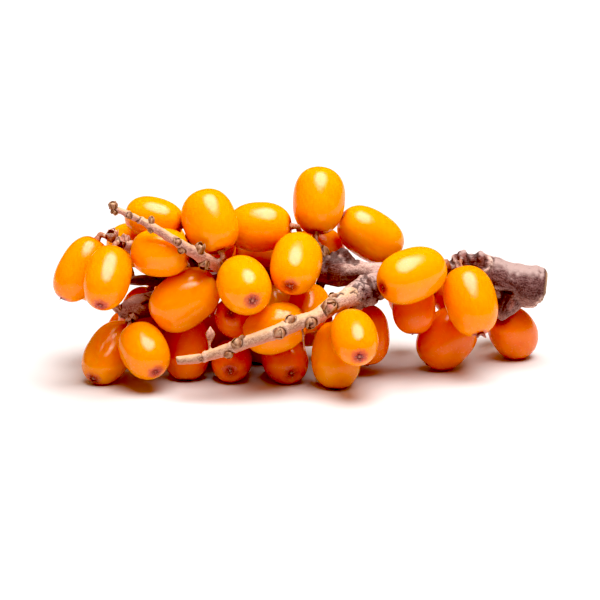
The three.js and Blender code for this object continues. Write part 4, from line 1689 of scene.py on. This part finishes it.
@dataclass(frozen=True)
class Net:
    """Which vertices of a mesh are joined."""

    ends: np.ndarray
    others: np.ndarray
    counts: np.ndarray

    @classmethod
    def of(cls, mesh: bpy.types.Mesh) -> "Net":
        """Reads which vertices of a mesh are joined.

        Args:
            mesh: the mesh.

        Returns:
            The net.
        """
        flat = np.empty(len(mesh.edges) * 2, np.int32)
        mesh.edges.foreach_get("vertices", flat)
        pairs = flat.reshape(-1, 2)
        ends = np.concatenate([pairs[:, 0], pairs[:, 1]])
        others = np.concatenate([pairs[:, 1], pairs[:, 0]])
        return cls(ends, others, np.bincount(ends, minlength=len(mesh.vertices))[:, None])

    def drawn(self, places: np.ndarray, share: float | np.ndarray) -> np.ndarray:
        """Draws each vertex a share of the way to the middle of its neighbours.

        Args:
            places: the vertices.
            share: the share, for all of them or for each.

        Returns:
            Their new places.
        """
        count = len(places)
        total = [np.bincount(self.ends, places[self.others, axis], count) for axis in range(3)]
        return places + share * (np.stack(total, axis=1) / self.counts - places)


@dataclass
class Wood:
    """The stem, shoots, spurs and stalks as one body of bark, with wrinkles, cracks, scars and painted light
    and shade.
    """

    voxel: float = 0.187
    roundness: float = 1.04
    limb_sides: int = 28
    stalk_reach: tuple[float, ...] = (-1.0, -0.55, -0.1, 0.2, 0.42)
    stalk_radii: tuple[float, ...] = (0.40, 0.42, 0.50, 0.60, 0.48)
    stalk_sides: int = 10
    bare_stalks: tuple[Course, ...] = (
        ((-14.3, 6.0, -8.1, 0.3), (-14.4, 7.0, -8.1, 0.24), (-14.4, 8.2, -8.0, 0.3)),
        ((0.2, 10.3, -6.6, 0.24), (0.4, 8.3, -6.3, 0.17), (0.6, 6.4, -6.0, 0.16)),
    )
    bare_sides: int = 8
    smoothing: int = 14
    smooth_shares: Pair = (0.55, -0.57)  # in, then out again, so that nothing thins
    melting: int = 26
    melt_share: float = 0.5
    melt_reach: float = 1.5
    seed: int = 5
    bud_reach: float = 1.25
    stalk_span: Pair = (0.25, 0.7)
    stalk_swell: float = 0.05
    stalk_lumps: float = 0.04
    lumps: Texture = Texture(2.3, 31.0)
    lump: Feature = Feature(0.14)
    wrinkles: GrainTexture = GrainTexture((0.25, 1.2, 1.2))
    furrow_slope: float = 4.5
    # painted shade: the furrows between the wrinkles are painted darker as well as sunk
    shaded_furrow: Feature = Feature(-0.07, dark=0.45)
    grit: Texture = Texture(0.6, 9.0)
    grit_lump: Feature = Feature(0.045)
    # painted shade: the low spots between the grit are painted darker
    grit_pit_shade_span: Pair = (0.3, 1.0)
    grit_pit_shade: Feature = Feature(dark=0.25)
    foot: PlatedFoot = PlatedFoot()
    bud_foot: BudFoot = BudFoot()
    small: Texture = Texture(0.9, 13.0)
    small_lump: Feature = Feature(0.06)
    fibres: GrainTexture = GrainTexture((0.9, 3.6, 3.6), 5.0, 1)
    fibre: Feature = Feature(0.03)
    splits: GrainTexture = GrainTexture((1.8, 0.5, 0.5), 57.0)
    split_span: Pair = (0.45, 0.75)
    split: Feature = Feature(-0.05, dark=0.35)
    rim_span: Pair = (38.85, 39.2)
    rim_wander: float = 0.15
    rim: Feature = Feature(dark=0.6)
    # painted reflected light: the undersides of the old bark are painted redder, as with orange light thrown
    # up from the berries, and paler, to lift their shade
    old_under_bounce_span: Pair = (0.0, -0.8)
    old_under_bounce_light: Feature = Feature(red=0.35, pale=0.26)
    # painted shade: the undersides of the young shoots are painted redder and a little darker
    young_under_shade_span: Pair = (0.15, -0.7)
    young_under_shade: Feature = Feature(red=0.6, dark=0.1)
    # the share, reach and wander of the painted light on the tops of the young shoots
    lit_crest_share: float = 0.7
    lit_crest_span: Pair = (0.25, 0.9)
    lit_crest_wander: float = 0.15
    # the share, reach and wander of the painted sheen on the tops of the old bark
    wear_and_sheen_share: float = 0.8
    wear_and_sheen_span: Pair = (0.52, 0.86)
    wear_and_sheen_wander: float = 0.1
    cut_facing: Pair = (0.72, 0.9)
    cut_span: Pair = (38.2, 38.7)
    cut_flat: float = 0.6

    def body(
        self, node: bpy.types.Object, forms: list[BerryForm], tracks: dict[str, Track]
    ) -> bpy.types.Mesh:
        """The branch's node and its limbs, with a flared end on every stalk, as one even skin.

        Args:
            node: the branch's node.
            forms: the berries' forms.
            tracks: the limbs' lines.

        Returns:
            The mesh, in metres.
        """
        sheet = Sheet()
        sheet.add(read_rows(node.data.vertices, "co") / MM, read_faces(node.data))
        for track in tracks.values():
            sheet.add(*tube(track.line, track.radii * self.roundness, self.limb_sides))
        for form in forms:
            line = form.middle - (form.half - np.array(self.stalk_reach))[:, None] * form.axis
            sheet.add(*tube(line, np.array(self.stalk_radii), self.stalk_sides))
        for spots in self.bare_stalks:
            bare = Limb(spots).spans()
            sheet.add(*tube(bare[:, :3], bare[:, 3], self.bare_sides))
        rough = sheet.make("rough_wood")
        rough.data.validate()
        remesh = rough.modifiers.new("even_skin", "REMESH")
        remesh.mode = "VOXEL"
        remesh.voxel_size = self.voxel * MM
        shown = rough.evaluated_get(bpy.context.evaluated_depsgraph_get())
        mesh = bpy.data.meshes.new_from_object(shown)
        bpy.data.objects.remove(rough)
        return mesh

    def smooth(self, mesh: bpy.types.Mesh, tracks: dict[str, Track]) -> np.ndarray:
        """Takes the flats off the wood without thinning it, and melts the gnarls into it.

        Args:
            mesh: the wood's mesh.
            tracks: the limbs' lines.

        Returns:
            The vertices' new places in millimetres.
        """
        places = read_rows(mesh.vertices, "co") / MM
        net = Net.of(mesh)
        for share in self.smooth_shares * self.smoothing:
            places = net.drawn(places, share)
        melt = np.zeros(len(places))
        for bud in BUDS:
            if bud.kind is BudKind.GNARL:
                root, _, _, radius = bud_root(bud, tracks)
                away = np.linalg.norm(places - root, axis=1)
                melt = np.maximum(melt, bell(away, self.melt_reach * radius))
        for _ in range(self.melting):
            places = net.drawn(places, self.melt_share * melt[:, None])
        return places

    def stalks(self, bark: BarkMap) -> np.ndarray:
        """How much each vertex belongs to a berry's stalk.

        Args:
            bark: the vertices against the limbs.

        Returns:
            One number from 0 to 1 for each vertex.
        """
        clear = bark.clear.copy()
        for bud in BUDS:
            root, _, _, radius = bud_root(bud, bark.tracks)
            away = np.linalg.norm(bark.places - root, axis=1) - radius * self.bud_reach
            clear = np.minimum(clear, away)
        return ease(*self.stalk_span, clear)

    def old_bark(self, relief: Relief, bark: BarkMap, old: np.ndarray) -> None:
        """Lumps, wrinkles, grit and splits in the old bark, with painted shade in the furrows and pits, and
        plates round the lower shoot's foot.

        Args:
            relief: takes the features.
            bark: the vertices against the limbs.
            old: how old the bark is at each vertex.
        """
        wrinkle = self.wrinkles.at(bark.noise, bark.grain)
        shaded_furrow = 1.0 - np.minimum(1.0, np.abs(wrinkle) * self.furrow_slope)
        grit = self.grit.at(bark.noise, bark.places)
        relief.carve(old * self.lumps.at(bark.noise, bark.places), self.lump)
        # painted shade in the furrows
        relief.carve(old * shaded_furrow, self.shaded_furrow)
        relief.carve(old * grit, self.grit_lump)
        # painted shade in the pits
        relief.carve(old * ease(*self.grit_pit_shade_span, -grit), self.grit_pit_shade)
        self.foot.carve(relief, bark)

    def young_bark(self, relief: Relief, bark: BarkMap, young: np.ndarray, small: np.ndarray) -> None:
        """Fine grain and cross splits on the young shoots.

        Args:
            relief: takes the features.
            bark: the vertices against the limbs.
            young: how young the bark is at each vertex.
            small: the small lumps' noise there.
        """
        split = ease(*self.split_span, self.splits.at(bark.noise, bark.grain))
        relief.carve(young * small, self.small_lump)
        relief.carve(young * self.fibres.at(bark.noise, bark.grain), self.fibre)
        relief.carve(young * split, self.split)

    def relief(self, bark: BarkMap, stalk: np.ndarray) -> tuple[np.ndarray, dict[str, np.ndarray]]:
        """How far each vertex stands out or in, what kind of bark it has, and where light and shade are
        painted on it.

        Args:
            bark: the vertices against the limbs.
            stalk: how much each belongs to a stalk.

        Returns:
            The heights in millimetres, and the named values for the bark's finish.
        """
        pink, tan = bark.young(BarkKind.PINK), bark.young(BarkKind.TAN)
        twig = np.maximum(pink, tan) * (1.0 - stalk)
        old = (1.0 - np.maximum(pink, tan)) * (1.0 - stalk)
        small = self.small.at(bark.noise, bark.places)
        relief = Relief(len(stalk))
        self.old_bark(relief, bark, old)
        self.young_bark(relief, bark, twig, small)
        relief.carve(stalk * (self.stalk_swell + self.stalk_lumps * small), Feature(1.0))
        for bud in BUDS:
            self.bud_foot.carve(relief, bark, bud)
        for limb, marks in MARKS.items():
            for mark in marks:
                relief.carve(mark.near(bark, limb), mark.feature())
        rim = ease(*self.rim_span, bark.places[:, 0] + self.rim_wander * bark.ragged)
        relief.carve(rim * old, self.rim)
        rise = bark.normals[:, 2]
        # painted reflected light on the downward-facing old bark
        relief.carve(old * ease(*self.old_under_bounce_span, rise), self.old_under_bounce_light)
        # painted shade on the downward-facing young shoots
        relief.carve(twig * ease(*self.young_under_shade_span, rise), self.young_under_shade)
        # painted light: the young shoots are painted paler along their upward-facing tops
        crest = ease(*self.lit_crest_span, rise + self.lit_crest_wander * bark.ragged)
        # painted sheen: the old bark is painted paler where it faces up, as the light from above falls there
        worn = ease(*self.wear_and_sheen_span, rise + self.wear_and_sheen_wander * bark.ragged)
        values = {
            "pink": pink * (1.0 - stalk),
            "tan": tan * (1.0 - stalk),
            "young": twig,
            "crest": self.lit_crest_share * twig * crest,
            "stalk": stalk,
            "worn": self.wear_and_sheen_share * old * worn,
            "scar": np.clip(relief.scar, 0.0, 1.0),
            "red": np.clip(relief.red, 0.0, 1.0),
            "groove": np.clip(relief.groove, 0.0, 1.0),
        }
        return relief.height, values

    def build(
        self, node: bpy.types.Object, forms: list[BerryForm], tracks: dict[str, Track]
    ) -> bpy.types.Object:
        """The wood, dressed and set on the sprig.

        Args:
            node: the branch's node.
            forms: the berries' forms.
            tracks: the limbs' lines.

        Returns:
            The piece.
        """
        mesh = self.body(node, forms, tracks)
        places = self.smooth(mesh, tracks)
        write_places(mesh, places)
        normals = read_rows(mesh.vertex_normals, "vector")
        bark = BarkMap(places, normals, tracks, LatticeNoise(self.seed))
        height, values = self.relief(bark, self.stalks(bark))
        cut = ease(*self.cut_facing, normals[:, 0]) * ease(*self.cut_span, places[:, 0])
        places = places + (height * (1.0 - self.cut_flat * cut))[:, None] * normals
        places[:, 2] = np.maximum(places[:, 2], 0.0)
        write_places(mesh, places)
        set_values(mesh, {**values, "cut": cut, "grain": bark.grain})
        mesh.shade_smooth()
        piece = put("wood_and_stalks", mesh)
        piece.data.materials.clear()
        piece.data.materials.append(Bark().material())
        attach(piece, BODY)
        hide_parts("branch")
        return piece


def write_places(mesh: bpy.types.Mesh, places: np.ndarray) -> None:
    """Moves a mesh's vertices to places in millimetres."""
    mesh.vertices.foreach_set("co", (places * MM).astype(np.float32).ravel())
    mesh.update()


def bud_root(bud: Bud, tracks: dict[str, Track]) -> tuple[np.ndarray, np.ndarray, np.ndarray, float]:
    """Where a bud grows.

    Args:
        bud: the bud.
        tracks: the limbs' lines.

    Returns:
        Its root, the direction outwards, the direction along the limb, and its radius.
    """
    place, out, along = tracks[bud.limb].root(bud.share, bud.turn, bud.SUNK * bud.radius)
    return place, out, along, bud.radius


@dataclass(frozen=True)
class ScaleSet:
    """How the scales of one kind of bud sit: how many, how tall and wide, and how far they open."""

    count: int
    tall: float
    wrap: float
    opening: float


@dataclass(frozen=True)
class ScaleShape:
    """The form of one dry scale, in shares of its height, its half width and the bud's radius."""

    foot: float = -0.15
    taper: float = 2.2
    narrowest: float = 0.004
    bulge: tuple[float, ...] = (0.96, 0.25, 0.62, 0.55)  # its reach, fullest place, width and power
    thinnest: float = 0.02
    edge_powers: tuple[int, int] = (3, 4)  # how sharply it rises to the sides, and to the tip
    edge_thin: float = 0.6


@dataclass
class BudScales:
    """Overlapping dry scales on the buds of the shoots."""

    rows: int = 7
    columns: int = 9
    thick: float = 0.07
    lean: float = 0.35
    seed: int = 41
    shape: ScaleShape = ScaleShape()
    scaly: ScaleSet = ScaleSet(5, 1.35, 0.95, 0.3)
    closed: ScaleSet = ScaleSet(3, 1.12, 1.25, 0.07)
    step_round: float = math.radians(137.5)
    turn_off: float = 0.25
    wraps: Pair = (0.85, 1.15)
    least_opening: float = 0.03
    fit: float = 0.96
    overlap: float = 0.05
    heights: Pair = (0.8, 1.08)
    pale_limbs: tuple[str, ...] = ("left_twig", "left_spur", "top_spur")
    lone_bud: Triple = (-14.3, 7.8, -8.0)
    lone_folds: int = 3
    lone_turn: float = 0.4
    lone_sides: int = 12
    lone_radii: tuple[float, ...] = (0.14, 0.28, 0.42, 0.5, 0.36, 0.18, 0.03)
    lone_height: float = 2.5
    lone_spread: float = 0.36

    def scale(
        self, radius: float, tall: float, wrap: float, turn: float, open_by: float
    ) -> tuple[np.ndarray, Faces, np.ndarray]:
        """One scale of a bud that stands on the origin along the third axis.

        Args:
            radius: the bud's radius.
            tall: how tall the scale is.
            wrap: how far it reaches round the bud at its base, in radians.
            turn: where it stands round the bud, in radians.
            open_by: how far its tip stands away from the bud.

        Returns:
            Its vertices, its faces and how near each vertex is to the edge.
        """
        shape = self.shape
        height = np.linspace(shape.foot, 1.0, self.rows)[:, None]
        across = np.linspace(-1.0, 1.0, self.columns)[None]
        free = np.clip(height, 0.0, 1.0)
        angle = turn + wrap * across * np.sqrt(np.clip(1.0 - free**shape.taper, shape.narrowest, 1.0))
        stretch, fullest, width, power = shape.bulge
        swell = np.clip(1.0 - (free * stretch - fullest) ** 2 / width, shape.thinnest, 1.0) ** power
        sideways, upwards = shape.edge_powers
        edge = np.maximum(np.abs(across) ** sideways, free**upwards) * np.ones_like(angle)
        layers = []
        for lift in (self.thick, 0.0):
            lifted = radius * swell + lift * (1.0 - shape.edge_thin * edge) + open_by * edge
            x, y = lifted * np.cos(angle), lifted * np.sin(angle)
            z = tall * height * np.ones_like(angle)
            layers.append(np.stack([x, y, z], axis=-1).reshape(-1, 3))
        return np.concatenate(layers), self.scale_faces(), np.tile(edge.ravel(), 2)

    def scale_faces(self) -> Faces:
        """The faces of a scale: its outer side, its inner side and the rim that joins them.

        Returns:
            The faces.
        """
        outer = grid_faces(self.rows, self.columns, False)
        count = self.rows * self.columns
        inner = [tuple(count + corner for corner in reversed(face)) for face in outer]
        grid = np.arange(count).reshape(self.rows, self.columns)
        border = np.concatenate([grid[0, :-1], grid[:-1, -1], grid[-1, :0:-1], grid[::-1, 0]]).tolist()
        return outer + inner + [(b, a, count + a, count + b) for a, b in itertools.pairwise(border)]

    def dress(self, sheet: Sheet, bud: Bud, tracks: dict[str, Track], draw: np.random.Generator) -> None:
        """Puts the scales on one bud.

        Args:
            sheet: the mesh that takes them.
            bud: the bud.
            tracks: the limbs' lines.
            draw: the source of their unevenness.
        """
        place, out, along, radius = bud_root(bud, tracks)
        turned = standing_on(unit(out + self.lean * along))
        scales = self.scaly if bud.kind is BudKind.SCALY else self.closed
        tall = radius * bud.stretch * scales.tall
        for i in range(scales.count):
            turn = i * self.step_round + draw.uniform(-self.turn_off, self.turn_off)
            wrap = draw.uniform(*self.wraps) * scales.wrap
            open_by = draw.uniform(self.least_opening, scales.opening)
            size = radius * (self.fit + self.overlap * (scales.count - i) / scales.count)
            reach = tall * draw.uniform(*self.heights)
            places, faces, edge = self.scale(size, reach, wrap, turn, open_by)
            sheet.add(place + places @ turned, faces, edge=edge)

    def lone(self, sheet: Sheet) -> None:
        """Puts the folds of the pale bud on its stalk over the lower shoot.

        Args:
            sheet: the mesh that takes them.
        """
        turned = np.array([SHEET_AXES[0], -SHEET_AXES[2], SHEET_AXES[1]])
        root = in_sheet(*self.lone_bud)
        radii = np.array(self.lone_radii)
        share = np.linspace(0.0, 1.0, len(radii))
        out = self.lone_spread * radii / radii.max()
        edge = np.repeat(share**3, self.lone_sides)
        for i in range(self.lone_folds):
            turn = 2.0 * math.pi * i / self.lone_folds + self.lone_turn
            line = np.stack([out * math.cos(turn), out * math.sin(turn), self.lone_height * share], axis=1)
            places, faces = tube(line, radii, self.lone_sides)
            sheet.add(root + places @ turned, faces, edge=edge)

    def build(self, tracks: dict[str, Track]) -> list[bpy.types.Object]:
        """The scales of all the buds, as one piece for the brown ones and one for the pale ones.

        Args:
            tracks: the limbs' lines.

        Returns:
            The pieces.
        """
        draw = np.random.default_rng(self.seed)
        pieces = []
        for name, finish in (("bud_scales", ScaleFinish.BUD), ("pale_bud_scales", ScaleFinish.PALE_BUD)):
            sheet = Sheet()
            pale = finish is ScaleFinish.PALE_BUD
            for bud in BUDS:
                if bud.kind is not BudKind.GNARL and pale == (bud.limb in self.pale_limbs):
                    self.dress(sheet, bud, tracks, draw)
            if pale:
                self.lone(sheet)
            piece = sheet.make(name)
            piece.data.materials.append(finish.value.material())
            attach(piece, BODY)
            pieces.append(piece)
        return pieces


# ------------------------------------------------------------------------------------------ studio


@dataclass(frozen=True)
class PaleFloor:
    """A matt white floor with the faintest tooth."""

    name: str = "pale_floor"
    pale: Colour = (0.74, 0.74, 0.74)
    shade: Colour = (0.72, 0.72, 0.72)
    tooth: Cloud = Cloud(40.0, 3.0)
    roughness: float = 0.5
    shine: float = 0.5

    def material(self) -> bpy.types.Material:
        """The floor's finish.

        Returns:
            The material.
        """
        nodes = NodeTable(self.name)
        colour = nodes.blend(self.tooth.at(nodes, nodes.place()), self.pale, self.shade)
        return nodes.finish(Base_Color=colour, Roughness=self.roughness, Specular_IOR_Level=self.shine)


@dataclass(frozen=True)
class Softbox:
    """A soft oval light that faces the sprig, in metres and watts."""

    name: str
    power: float
    size: Pair
    place: Triple

    def build(self) -> None:
        """Hangs the light in its place."""
        light = bpy.data.lights.new(self.name, "AREA")
        light.shape = "ELLIPSE"
        light.size, light.size_y = self.size
        light.energy = self.power
        lamp = put(self.name, light)
        away = Vector(self.place).normalized()
        side = Vector((0.0, 1.0, 0.0)).cross(away).normalized()
        lamp.location = self.place
        lamp.rotation_euler = Matrix((side, away.cross(side), away)).transposed().to_euler()


@dataclass
class Studio:
    """The floor, the lights and the camera."""

    floor_side: float = 6.0
    sky: tuple[Colour, float] = ((1.0, 0.58, 0.42), 0.30)
    backdrop: tuple[Colour, float] = ((1.0, 1.0, 1.0), 1.0)
    black_point: float = 0.035
    lights: tuple[Softbox, ...] = (Softbox("overhead", 83.0, (1.66, 2.2), (0.24, -0.36, 1.95)),)
    aim: Triple = (-0.23, -2.22, 12.69)
    camera_distance: float = 1.0
    camera_height: float = 15.0
    view_width: float = 0.096
    sensor: float = 36.0

    def floor(self) -> None:
        """The pale floor that the sprig lies on."""
        half = self.floor_side / 2 / MM
        corners = np.array([[-half, -half, 0], [half, -half, 0], [half, half, 0], [-half, half, 0]])
        piece = make_object("floor", corners, [(0, 1, 2, 3)], {})
        piece.data.materials.append(PaleFloor().material())

    def sky_light(self) -> None:
        """Even warm light from all round, behind which the room looks white."""
        world = bpy.data.worlds.new("studio")
        world.use_nodes = True
        nodes, links = world.node_tree.nodes, world.node_tree.links
        seen = nodes.new("ShaderNodeMixShader")
        links.new(nodes.new("ShaderNodeLightPath").outputs["Is Camera Ray"], seen.inputs["Fac"])
        for socket, (colour, strength) in zip(seen.inputs[1:], (self.sky, self.backdrop)):
            glow = nodes.new("ShaderNodeBackground")
            glow.inputs["Color"].default_value = (*colour, 1.0)
            glow.inputs["Strength"].default_value = strength
            links.new(glow.outputs["Background"], socket)
        links.new(seen.outputs["Shader"], nodes["World Output"].inputs["Surface"])
        bpy.context.scene.world = world

    def camera(self) -> None:
        """A long lens that looks down a little on the sprig."""
        data = bpy.data.cameras.new("camera")
        data.sensor_width = self.sensor
        data.lens = self.sensor * self.camera_distance / self.view_width
        camera = put("camera", data)
        tilt = math.radians(self.camera_height)
        away = Vector((0.0, -math.cos(tilt), math.sin(tilt)))
        camera.location = Vector(self.aim) * MM + away * self.camera_distance
        camera.rotation_euler = (-away).to_track_quat("-Z", "Y").to_euler()
        bpy.context.scene.camera = camera

    def build(self) -> None:
        """Sets up the whole studio."""
        self.floor()
        self.sky_light()
        for light in self.lights:
            light.build()
        self.camera()
        view = bpy.context.scene.view_settings
        view.view_transform = "Standard"
        view.look = "None"
        view.use_curve_mapping = True
        view.curve_mapping.black_level = (self.black_point,) * 3
        view.curve_mapping.update()


def triangles(pieces: list[bpy.types.Object]) -> int:
    """How many triangles some pieces have together."""
    return sum(len(face.vertices) - 2 for piece in pieces for face in piece.data.polygons)


def main() -> None:
    """Builds the sprig and its studio, and writes how large the model is."""
    logging.basicConfig(level=logging.INFO, format="%(name)s: %(message)s")
    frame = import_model()
    nodes = frame["nodes"]
    forms = [BerryForm.read(nodes[name]) for name in sorted(nodes) if name.startswith("berry")]
    tracks = {name: Track(limb) for name, limb in LIMBS.items()}

    wood = Wood().build(nodes["branch"], forms, tracks)
    LOG.info("%s: %d triangles", wood.name, triangles([wood]))
    for scales in BudScales().build(tracks):
        LOG.info("%s: %d triangles", scales.name, triangles([scales]))
    berries = BerryCrowd().build(forms)
    LOG.info("%d berries: %d triangles", len(berries), triangles(berries))
    flowers = DriedFlowers().build(forms)
    LOG.info("%s: %d triangles", flowers.name, triangles([flowers]))
    Studio().build()


if __name__ == "__main__":
    main()
